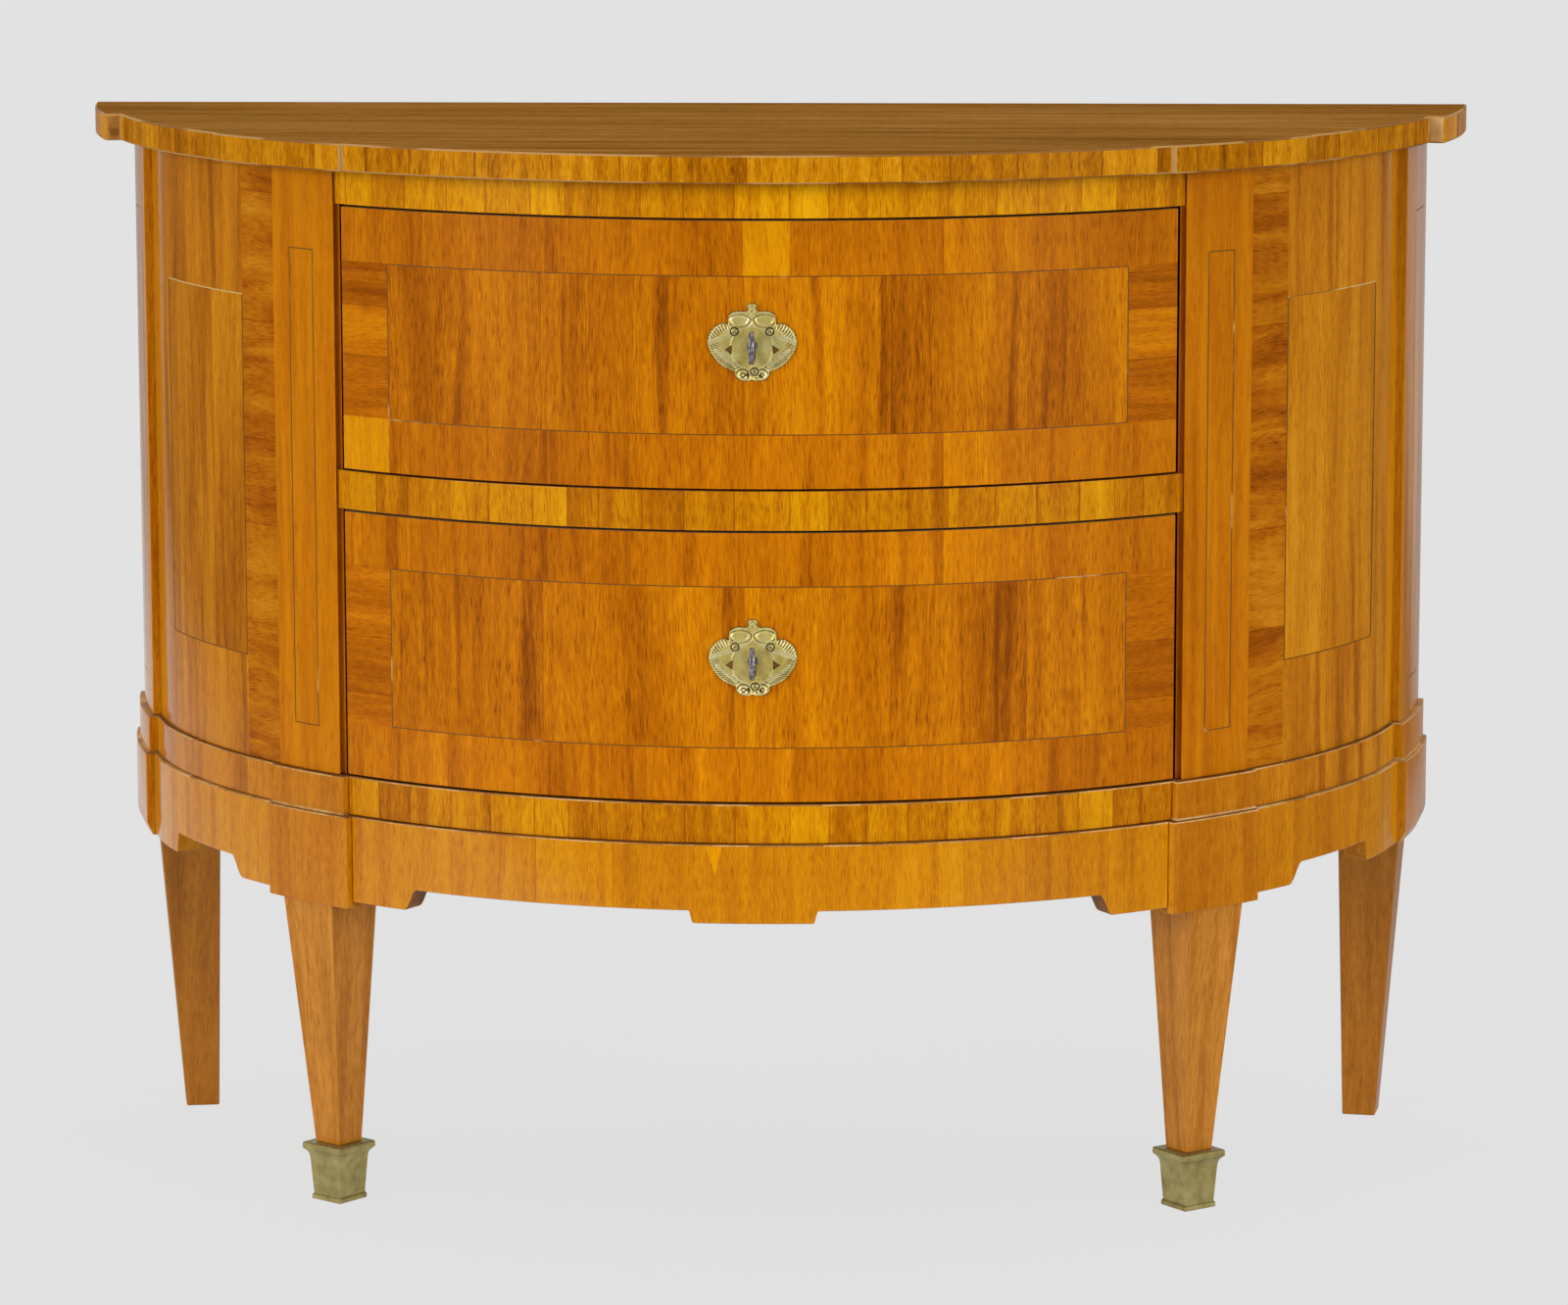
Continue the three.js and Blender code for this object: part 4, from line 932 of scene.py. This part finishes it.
def frontLegLoft(side):
    top, foot = onBow(legOffset, stileMiddle), onBow(legOffset - frontLeg["footShift"], stileMiddle)
    turn = side * frontLeg["turn"]
    places = ((foot, shoe["pocket"] - seatGap, shoe["floor"] + seatGap),
              (foot, shoe["pocket"] - seatGap, shoe["height"] + seatGap),
              (foot, frontLeg["footHalf"], shoe["height"] + seatGap),
              (top, frontLeg["topHalf"], base["legHeight"] - seatGap))
    return loft([turnedSquare((side * x, y), half, turn, z) for (x, y), half, z in places])


def brassShoe(side):
    x, y = onBow(legOffset - frontLeg["footShift"], stileMiddle)
    turn = side * frontLeg["turn"]
    rings = [turnedSquare((side * x, y), half * mm, turn, z * mm) for z, half in shoeProfile]
    pocket = loft([turnedSquare((side * x, y), shoe["pocket"], turn, z)
                   for z in (shoe["floor"], shoe["height"] + cutPast)])
    return combine(loft(rings), [pocket])


def rearLegLoft(side):
    # turned to stand square under the pilaster, its back corner just clear of the wall
    rings = []
    turn = rearLeg["turn"]
    ends = ((0, rearLeg["footX"], rearLeg["foot"]),
            (topOf("rear_leg_left"), rearLeg["topX"], rearLeg["top"]))
    for z, x, (wide, deep) in ends:
        y = wallY - rearLeg["setback"] - wide * math.sin(turn) - deep * math.cos(turn)
        rings.append(turnedSquare((side * x, y), wide, -side * turn, z, deep))
    return loft(rings)


for name, side in sides:
    newPiece(f"front_leg_{name}_tapered", frontLegLoft(side), ("leg",), "carcass",
             (f"front_leg_{name}",), bevel=frontLeg["ease"], segments=3)
    # the rear legs take the browner look: painted shade under the case
    newPiece(f"rear_leg_{name}_tapered", rearLegLoft(side), ("rearLeg",), "carcass",
             (f"rear_leg_{name}",), bevel=frontLeg["ease"], segments=3)
    newPiece(f"brass_shoe_{name}_cast", brassShoe(side), ("brass",), "carcass",
             (f"brass_shoe_{name}",), bevel=shoe["ease"], sharp=25)
print("legs and shoes made")


# Drawer fronts: a patch is where it lies and from which x to which
fronts = {
    "upper": {"frameZ": (650 * mm, 773 * mm), "patches": (("top", -7 * mm, 29 * mm),
                                                         ("bottom", -329.3 * mm, -290.5 * mm))},
    "lower": {"frameZ": (404 * mm, 531 * mm), "patches": ()},
}
frameX = (-290.5 * mm, 290.5 * mm)
keyRise = 113.2 * mm
keyZ = {"upper": topOf("middle_rail") + keyRise, "lower": topOf("base_band_centre") + keyRise}
plateRise = 2.4 * mm
screwPlaces = ((13.7 * mm, 9 * mm), (-13.7 * mm, 9 * mm), (1.8 * mm, -22.2 * mm))
screwHole = {"radius": 1.6 * mm, "deep": 9.3 * mm, "round": 16}


def keyholeCutters(z, backY):
    half, frontY = lockShape["slotHalf"], faceY - cutPast
    return [rod(lockShape["hole"], 0, z, frontY, backY),
            box((-half, frontY, z - lockShape["slotDrop"]), (half, backY, z))]


def drawerFront(name):
    low, high = bottomOf(f"drawer_front_{name}"), topOf(f"drawer_front_{name}")
    halfX = openingX - drawerFace["gap"]
    back = -drawerFace["thick"]
    columns = edgesOf(frameX) + [x for _, *ends in fronts[name]["patches"] for x in ends]
    points = arc(0, -angleAtX(halfX), angleAtX(halfX), [angleAtX(x) for x in columns if abs(x) < halfX])
    points += arc(back, angleAtX(halfX, back), -angleAtX(halfX, back))
    solid = prism(points, levels(low, high, edgesOf(fronts[name]["frameZ"])))
    innerY = faceY + drawerFace["thick"]
    pocket = lockShape["halfWidth"] + seatGap
    bar = lockShape["barHalf"] + lockShape["clearance"]
    z = keyZ[name]
    cutters = [
        box((-pocket, innerY - lockShape["depth"] - seatGap, z - lockShape["below"] - seatGap),
            (pocket, innerY + cutPast, z + lockShape["above"] + seatGap)),
        box((-bar, boltFrontY - lockShape["clearance"], z), (bar, innerY + cutPast, high + cutPast)),
    ] + keyholeCutters(z, innerY)
    cutters += [rod(screwHole["radius"], x, z + plateRise + dz, faceY - cutPast,
                    faceY + screwHole["deep"], screwHole["round"]) for x, dz in screwPlaces]
    return combine(solid, cutters)


def frontRule(name):
    frameZ = fronts[name]["frameZ"]
    half = stringWidth / 2

    def rule(c, off, out, normal):
        if out < looksOut or off < -veneerThick:
            return "bare" if off < -2 * veneerThick or abs(normal.z) < 0.5 else "edgeGrain"
        if onString(c.x, c.z, frameX, frameZ):
            return "string"
        for level, fromX, toX in fronts[name]["patches"]:
            if fromX < c.x < toX and (c.z > frameZ[1] if level == "top" else c.z < frameZ[0]):
                return "pale"
        if not within(c.z, frameZ, half):
            return "band"
        return "field" if within(c.x, frameX, half) else "end"
    return rule


for name in drawerNames:
    newPiece(f"drawer_front_{name}_veneered", drawerFront(name),
             ("field", "band", "end", "string", "pale", "bare", "edgeGrain"), f"{name}_drawer",
             (f"drawer_front_{name}",), frontRule(name))
print("drawer fronts made")


# Escutcheon: an engraved plate bent to the bow, in mm from its middle
plate = {"back": 0.3, "thick": 1.1, "thinEdge": 0.55, "softEdge": 0.35, "sunk": 0.25, "rings": 60,
         "spokes": 640, "crowd": 0.85, "steepShade": 0.3, "tarnished": 0.04, "rubbed": 0.42, "opening": -0.4}
# A disc or an oval is its place and radius. A line is how far out it runs, how high it stands and half its
# width. A wave is its level and height, some with how close they lie. A rib is its two ends and half its
# width, and a stamp is its radius and level.
engraving = {
    "plain": 0.12, "disc": (0.0, -4.0, 16.4), "discReach": 0.6, "discLine": (0.0, 0.5, 1.2),
    "oval": (9.6, 17.2, 3.7), "ovalWide": 1.75, "ovalClear": 0.9, "ovalReach": 3.4, "ovalLevel": 0.14,
    "ovalLines": ((0.0, 0.5, 0.75), (1.2, -0.2, 0.6), (2.3, 0.4, 0.8)),
    "crown": (18.6, 10.5), "finial": (6, 12, 27.0), "finialWave": (0.28, 0.34, 1.35),
    "foot": (13.8, -20.0), "scroll": (7.2, -25.0), "scrollWave": (0.22, 0.34, 2),
    "leafFrom": 9, "barbs": 86, "barbMiddle": -3.0, "barbSlant": 1.3, "barbReach": 9.5, "barbFade": 2,
    "barbWave": (0.24, 0.42), "ribWave": (0.44, 0.2),
    "ribs": (((13.5, 7.5), (33.0, 0.5), 1.7), ((12.5, -18.0), (28.0, -6.0), 1.4)),
    "screwStamps": ((4.2, 0.46), (3.5, -0.3)), "edgeLine": (0.8, 0.42, 0.7),
    "opening": (15.9, 20.8, -5.2, 3.4), "footHoles": ((-3.9, -24.6, 1.2), (6.1, -25.4, 1.2))}
plateOutline = (
    (0, 30.8), (2.8, 30.2), (4.1, 28.0), (3.8, 25.6), (4.6, 24.6), (7.4, 24.7), (10.9, 24.8), (14.6, 24.1),
    (17.4, 21.9), (18.7, 18.4), (18.6, 15.6), (19.2, 14.6), (21.6, 15.3), (24.6, 15.0), (27.6, 13.4),
    (29.9, 11.4), (32.4, 8.2), (33.8, 4.6), (34.3, 0.8), (33.9, -3.0), (32.4, -7.0), (30.0, -10.6),
    (26.6, -15.0), (22.4, -18.4), (17.4, -20.8), (13.4, -22.3), (13.2, -24.6), (12.0, -26.7), (9.6, -28.6),
    (6.8, -29.4), (3.6, -29.3), (1.2, -29.0))


def smoothLoop(points, count):
    # closed curve through the points
    curve, total = [], len(points)
    for i in range(total):
        p0, p1, p2, p3 = (Vector(points[(i + k) % total]) for k in (-1, 0, 1, 2))
        for j in range(count):
            t = j / count
            curve.append(0.5 * (2 * p1 + (p2 - p0) * t + (2 * p0 - 5 * p1 + 4 * p2 - p3) * t * t
                                + (3 * p1 - p0 - 3 * p2 + p3) * t ** 3))
    return curve


def plateReach():
    # how far the outline is from the middle, spoke by spoke
    left = [(-x, z) for x, z in reversed(plateOutline[1:])]
    loop = smoothLoop(list(plateOutline) + left, 8)
    polar = sorted((math.atan2(p.y, p.x), p.length) for p in loop)
    polar = [(polar[-1][0] - 2 * math.pi, polar[-1][1])] + polar + [(polar[0][0] + 2 * math.pi, polar[0][1])]
    reach = []
    for i in range(plate["spokes"]):
        angle = -math.pi + 2 * math.pi * i / plate["spokes"]
        k = next(k for k in range(1, len(polar)) if polar[k][0] >= angle)
        (a, ra), (b, rb) = polar[k - 1], polar[k]
        reach.append(ra + (rb - ra) * (angle - a) / max(b - a, 1e-9))
    return reach


def raised(distance, shape):
    at, high, half = shape
    return high * max(0.0, 1 - abs(distance - at) / half)


def fromLine(x, z, start, end):
    # distance to a line drawn on the plate
    way, spot = Vector(end) - Vector(start), Vector((x, z)) - Vector(start)
    share = clamp(spot.dot(way) / way.length_squared)
    return (spot - way * share).length


def plateHeight(x, z, edge):
    # relief in mm above the plate's plain face; edge is the distance to the outline
    e = engraving
    ax = abs(x)
    fromDisc = math.hypot(x - e["disc"][0], z - e["disc"][1]) - e["disc"][2]
    oval = math.hypot((ax - e["oval"][0]) / e["ovalWide"], z - e["oval"][1]) - e["oval"][2]
    height = e["plain"]
    if fromDisc < e["discReach"] and oval > e["ovalClear"]:
        height += raised(fromDisc, e["discLine"])
    elif ax < e["crown"][0] and z > e["crown"][1] and oval < e["ovalReach"]:
        # hollow ovals of the crown, their rims meeting over the disc
        height = e["ovalLevel"]
        for shape in e["ovalLines"]:
            height += raised(oval, shape)
    elif ax < e["finial"][0] and z > e["finial"][1]:
        level, high, close = e["finialWave"]
        height = level + high * math.cos((z - e["finial"][2]) * close) * math.cos(ax)
    elif ax < e["foot"][0] and z < e["foot"][1]:
        # small scrolls at the foot
        level, high, close = e["scrollWave"]
        height = level + high * math.cos(math.hypot(ax - e["scroll"][0], z - e["scroll"][1]) * close)
    elif ax > e["leafFrom"]:
        # barbs along the rim of each leaf, with a plain rib between the leaves
        level, high = e["barbWave"]
        barb = math.sin(math.atan2(z - e["barbMiddle"], ax) * e["barbs"] + edge * e["barbSlant"])
        height = level + high * barb * clamp((e["barbReach"] - edge) / e["barbFade"])
        level, high = e["ribWave"]
        for start, end, half in e["ribs"]:
            rib = fromLine(ax, z, start, end)
            if rib < half:
                height = level + high * (1 - rib / half)
    for sx, sz in screwPlaces:
        # a ring stamped round each screw, then the flat inside it
        away = math.hypot(x - sx / mm, z - sz / mm)
        for reach, level in e["screwStamps"]:
            if away < reach:
                height = level
    return height + raised(edge, e["edgeLine"])


def inOpening(x, z):
    # a side opening points outward, and two small round ones lie at the foot
    inner, tip, middle, half = engraving["opening"]
    if inner < abs(x) < tip:
        return abs(z - middle) < half * (tip - abs(x)) / (tip - inner)
    return any(math.hypot(x - hx, z - hz) < radius for hx, hz, radius in engraving["footHoles"])


def escutcheon(name):
    bm = bmesh.new()
    reach = plateReach()
    spokes, rings = plate["spokes"], plate["rings"]
    centreZ = keyZ[name] + plateRise
    ways = [-math.pi + 2 * math.pi * i / spokes for i in range(spokes)]

    def put(x, z, height):
        # bent to the bow, so that the plate lies on the drawer all the way
        x, y = onBow((plate["back"] + height) * mm, x * mm / bow["radius"])
        return bm.verts.new((x, y, centreZ + z * mm))

    def front(x, z, edge):
        if inOpening(x, z):
            return plate["sunk"]
        eased = clamp(edge / plate["softEdge"])
        thick = plate["thick"] * (plate["thinEdge"] + (1 - plate["thinEdge"]) * eased)
        return thick + plateHeight(x, z, edge) * eased

    outer = []
    for k in range(1, rings + 1):
        share = (k / rings) ** plate["crowd"]
        row = []
        for way, far in zip(ways, reach):
            x, z = far * share * math.cos(way), far * share * math.sin(way)
            row.append(put(x, z, front(x, z, far - far * share)))
        outer.append(row)
    hub = put(0, 0, front(0, 0, reach[0]))
    back = [put(far * math.cos(way), far * math.sin(way), 0.0) for way, far in zip(ways, reach)]
    for row, nextRow in zip(outer, outer[1:] + [back]):
        for i in range(spokes):
            j = (i + 1) % spokes
            bm.faces.new((row[i], row[j], nextRow[j], nextRow[i]))
    for i in range(spokes):
        bm.faces.new((hub, outer[0][(i + 1) % spokes], outer[0][i]))
    bm.faces.new(back)
    bmesh.ops.recalc_face_normals(bm, faces=bm.faces)
    return combine(bm, keyholeCutters(keyZ[name], faceY + cutPast))


def plateRule(name):
    # wood shows in the openings, ridges are rubbed bright, hollows have darkened with tarnish and steep
    # sides are painted dark as shade round the rim
    plain = plate["back"] + plate["thick"]

    def rule(c, off, out, normal):
        x, z = math.atan2(c.x, centreY - c.y) * bow["radius"] / mm, (c.z - keyZ[name] - plateRise) / mm
        height = off / mm - plain
        if inOpening(x, z) and height < plate["opening"]:
            return "edgeGrain"
        # steep faces get the dark look as painted shade, low hollows as tarnish
        if out < plate["steepShade"] or height < plate["tarnished"]:
            return "plateTarnishAndShade"
        return "plateRubbed" if height > plate["rubbed"] else "plate"
    return rule


# Screws: slotted heads filed flat; the crown is shares of the head's radius and mm behind its front
screw = {"head": 2.5 * mm, "headHigh": 1.1 * mm, "crown": ((1, 0.45), (0.8, 0.1), (0.45, 0)),
         "offPlate": 0.35 * mm, "shank": 1.3 * mm, "length": 9 * mm, "slot": 0.8 * mm,
         "slotDeep": 0.45 * mm, "slotPast": 0.6 * mm, "slotReach": 4 * mm, "firstTurn": 0.5,
         "nextTurn": 1.9, "round": 28}


def escutcheonScrew(name, index):
    x, dz = screwPlaces[index]
    z = keyZ[name] + plateRise + dz
    headBack = faceY - (plate["back"] + plate["thick"]) * mm - screw["offPlate"]
    front = headBack - screw["headHigh"]
    profile = [(screw["shank"], faceY + screw["length"]), (screw["shank"], headBack),
               (screw["head"], headBack)]
    profile += [(screw["head"] * share, front + behind * mm) for share, behind in screw["crown"]]
    turn = Matrix.Rotation(screw["firstTurn"] + screw["nextTurn"] * index, 4, "Y")
    reach, half = screw["slotReach"], screw["slot"] / 2
    cutter = box((-reach, -screw["slotPast"], -half), (reach, screw["slotDeep"], half))
    bmesh.ops.transform(cutter, matrix=Matrix.Translation((x, front, z)) @ turn, verts=cutter.verts)
    return combine(turned(profile, x, z, screw["round"]), [cutter])


# Key: an oval bow seen on its edge, a collar, the shank and the bit inside the lock; the tip of the shank is
# shares of its radius and mm into the bow
key = {"bowHalf": 12.9 * mm, "bowLong": 17 * mm, "bowSunk": 1 * mm, "wire": 1.7 * mm, "wireWide": 2.2 * mm,
       "squareness": 0.55, "around": 56, "section": 16, "round": 28, "collar": 4 * mm, "collarNeck": 0.86,
       "collarLong": 2.4 * mm, "collarEase": 0.6 * mm, "standoff": 3.1 * mm, "shank": 2.5 * mm,
       "tip": ((0.7, 1.6), (1, 0.6)), "bitLong": 9 * mm, "bitHalf": 1 * mm, "bitWide": 3.2 * mm}


def keyBow(z, middleY):
    # a ring of wire forged nearly square
    around, section = key["around"], key["section"]
    a, b = key["bowLong"] / 2 - key["wire"], key["bowHalf"] - key["wire"]
    bm = bmesh.new()
    rings = []
    for i in range(around):
        t = 2 * math.pi * i / around
        centre = Vector((0, middleY + a * math.cos(t), z + b * math.sin(t)))
        outward = Vector((0, math.cos(t) / a, math.sin(t) / b)).normalized()
        ring = []
        for j in range(section):
            s = 2 * math.pi * (j + 0.5) / section
            c, d = (math.copysign(abs(v) ** key["squareness"], v) for v in (math.cos(s), math.sin(s)))
            sideways = Vector((key["wireWide"] * d, 0, 0))
            ring.append(bm.verts.new(centre + outward * key["wire"] * c + sideways))
        rings.append(ring)
    for i in range(around):
        for j in range(section):
            k, m = (i + 1) % around, (j + 1) % section
            bm.faces.new((rings[i][j], rings[i][m], rings[k][m], rings[k][j]))
    bmesh.ops.recalc_face_normals(bm, faces=bm.faces)
    return bm


def keySolid(name):
    z = keyZ[name]
    collarBack = faceY - key["standoff"]
    collarFront = collarBack - key["collarLong"]
    bowBack = collarFront + key["bowSunk"]
    bitFront = faceY + drawerFace["thick"] - lockShape["depth"] + lockShape["wall"] + seatGap
    bitBack = bitFront + key["bitWide"]
    shank, collar, neck = key["shank"], key["collar"], key["collar"] * key["collarNeck"]
    profile = [(shank * share, bowBack - into * mm) for share, into in key["tip"]]
    profile += [(shank, collarFront), (neck, collarFront), (collar, collarFront + key["collarEase"]),
                (collar, collarBack - key["collarEase"]), (neck, collarBack), (shank, collarBack),
                (shank, bitBack)]
    bit = box((-key["bitHalf"], bitFront, z - key["bitLong"]), (key["bitHalf"], bitBack, z))
    stem = turned(profile, 0, z, key["round"])
    return combine(keyBow(z, bowBack - key["bowLong"] / 2), [stem, bit], "UNION")


for name in drawerNames:
    drawer = f"{name}_drawer"
    newPiece(f"escutcheon_{name}_engraved", escutcheon(name),
             ("plate", "edgeGrain", "plateRubbed", "plateTarnishAndShade"), drawer,
             (f"escutcheon_{name}",), plateRule(name), sharp=60)
    for index in range(len(screwPlaces)):
        node = f"escutcheon_screw_{name}_{index + 1}"
        newPiece(f"{node}_slotted", escutcheonScrew(name, index), ("screwHead",), drawer, (node,))
    newPiece(f"key_{name}_forged", keySolid(name), ("steel",), f"{name}_key", (f"key_{name}",),
             sharp=40)
print("escutcheons, screws and keys made")


# Inlaid wedge on the middle apron, a hair proud of the veneer
wedge = {"corners": ((-37, 326.5), (-24, 326.5), (-29.5, 303.5)), "proud": 0.15 * mm, "deep": 0.8 * mm}


def inlaidWedge():
    rings = []
    for offset in (-wedge["deep"], wedge["proud"]):
        ring = []
        for x, z in wedge["corners"]:
            px, py = onBow(base["centreApron"] + offset, x * mm / bow["radius"])
            ring.append((px, py, z * mm))
        rings.append(ring)
    return loft(rings)


newPiece("apron_wedge_inlaid", inlaidWedge(), ("pale",), "carcass")


# Pieces whose plain solid is the real shape keep it and get their wood or iron
def dress(look, *names):
    for node in names:
        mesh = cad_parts[node].data
        mesh.materials.clear()
        mesh.materials.append(looks[look])


dress("oldBack", "back_panel", "back_rail")
dress("bare", "bottom_board", "dust_board")
for name in drawerNames:
    dress("bare", f"drawer_stop_{name}", f"drawer_bottom_{name}", f"drawer_back_{name}")
    dress("bareSide", *[f"drawer_{part}_{name}_{hand}"
                        for part in ("runner", "side") for hand in ("left", "right")])
    dress("lockSteel", f"lock_case_{name}")
    dress("steel", f"lock_bolt_{name}")
print("inner pieces dressed")


# Floor, world, lamps and camera. The pool is where the mirrored floor turns pale, in metres from left to
# right; behind is the slope, fade and level of the pale floor behind. A lamp is strength, spread and turn.
studio = {"floor": "#e2e2e2", "floorHalf": 30.0, "floorFront": -1.3, "floorGlow": 0.94,
          "floorWhite": 0.8, "floorMirrored": 0.05, "pool": (-2.9, -0.9, 0.2, 1.5),
          "behind": (0.72, 0.7, 0.5), "ambient": 0.34,
          "frontReflection": 0.045, "sideReflection": 0.85, "sideFrom": (0.62, 1.0), "leftMore": 0.25,
          "key": (1.65, 24, (79, 0, -47)), "fill": (1.4, 24, (79, 0, 49)), "top": (1.3, 60, (0, 0, 0))}


def rayKinds(tree):
    # 1 for rays that see the room: straight from the camera, mirrored or through glass
    path = addNode(tree, "LightPath")
    either = calc(tree, "MAXIMUM", path.outputs["Is Camera Ray"], path.outputs["Is Glossy Ray"])
    seen = calc(tree, "MAXIMUM", either, path.outputs["Is Transmission Ray"])
    return seen, path


def studioFloor():
    half = studio["floorHalf"]
    bm = bmesh.new()
    front = studio["floorFront"]
    corners = ((-half, front), (half, front), (half, half), (-half, half))
    bm.faces.new([bm.verts.new((x, y, 0)) for x, y in corners])
    mesh = bpy.data.meshes.new("floor")
    bm.to_mesh(mesh)
    bm.free()
    material, tree = newMaterial("Studio floor painted")
    matt = addNode(tree, "BsdfDiffuse", {"Color": (studio["floorWhite"],) * 3 + (1.0,)})
    seen, path = rayKinds(tree)
    # the gloss sees a pale pool of floor before the chest, a dark room beside it and pale floor behind
    along = addNode(tree, "SeparateXYZ", {0: addNode(tree, "NewGeometry").outputs["Position"]})
    left, leftFull, rightFull, right = studio["pool"]
    rise = remap(tree, along.outputs["X"], left, leftFull)
    fall = remap(tree, along.outputs["X"], right, rightFull)
    pool = calc(tree, "MULTIPLY", rise, fall)
    slope, fade, most = studio["behind"]
    aside = calc(tree, "ABSOLUTE", along.outputs["X"])
    back = calc(tree, "MULTIPLY", along.outputs["Y"], slope)
    back = calc(tree, "SUBTRACT", back, aside)
    back = remap(tree, back, 0.0, fade, 0.0, most)
    pool = calc(tree, "MAXIMUM", pool, back)
    level = remap(tree, pool, 0.0, 1.0, studio["floorMirrored"], 1.0)
    level = addNode(tree, "Mix", {0: path.outputs["Is Camera Ray"], 2: level, 3: 1.0})
    glow = addNode(tree, "Emission", {"Color": srgb(studio["floor"]), "Strength": level})
    share = remap(tree, path.outputs["Is Camera Ray"], 0.0, 1.0, 1.0, studio["floorGlow"])
    share = calc(tree, "MULTIPLY", seen, share)
    addNode(tree, "OutputMaterial", {0: addNode(tree, "MixShader", {0: share, 1: matt, 2: glow})})
    mesh.materials.append(material)
    floor = newObject("studio_floor", mesh)


def studioWorld():
    world = bpy.data.worlds.new("studio")
    bpy.context.scene.world = world
    world.use_nodes = True
    tree = world.node_tree
    tree.nodes.clear()
    seen, path = rayKinds(tree)
    way = addNode(tree, "SeparateXYZ", {0: addNode(tree, "TexCoord").outputs["Generated"]})
    behind = calc(tree, "MULTIPLY_ADD", way.outputs["X"], -studio["leftMore"], way.outputs["Y"])
    level = remap(tree, behind, *studio["sideFrom"], studio["frontReflection"], studio["sideReflection"])
    mirrorOnly = addNode(tree, "Background", {"Color": (1, 1, 1, 1), "Strength": level})
    seenOnly = addNode(tree, "Background", {"Color": srgb(studio["floor"]), "Strength": 1.0})
    soft = addNode(tree, "Background", {"Color": (1, 1, 1, 1), "Strength": studio["ambient"]})
    straight = addNode(tree, "MixShader", {0: path.outputs["Is Camera Ray"], 1: mirrorOnly, 2: seenOnly})
    addNode(tree, "OutputWorld", {0: addNode(tree, "MixShader", {0: seen, 1: soft, 2: straight})})


def sunLamp(name, strength, spread, turn):
    lamp = bpy.data.lights.new(name, "SUN")
    lamp.energy = strength
    lamp.angle = math.radians(spread)
    newObject(name, lamp).rotation_euler = [math.radians(a) for a in turn]


studioFloor()
studioWorld()
for name in ("key", "fill", "top"):
    sunLamp(f"{name}_lamp", *studio[name])

cameraShape = {"place": (0.21635, -4.95452, 1.27051), "yaw": -0.04071, "pitch": 0.16597,
               "roll": -0.00127, "lens": 141.44, "sensor": 36, "sees": 200}


def placeCamera():
    yaw, pitch, roll = (cameraShape[k] for k in ("yaw", "pitch", "roll"))
    ahead = Vector((math.sin(yaw) * math.cos(pitch), math.cos(yaw) * math.cos(pitch), -math.sin(pitch)))
    right = Vector((math.cos(yaw), -math.sin(yaw), 0))
    up = right.cross(ahead)
    across = right * math.cos(roll) + up * math.sin(roll)
    above = up * math.cos(roll) - right * math.sin(roll)
    lens = bpy.data.cameras.new("camera")
    lens.lens = cameraShape["lens"]
    lens.sensor_width = cameraShape["sensor"]
    lens.clip_end = cameraShape["sees"]
    made = newObject("camera", lens)
    turn = Matrix((across, above, -ahead)).transposed().to_4x4()
    made.matrix_world = Matrix.Translation(cameraShape["place"]) @ turn
    bpy.context.scene.camera = made


placeCamera()
bpy.context.scene.view_settings.view_transform = "Standard"
print("studio made")
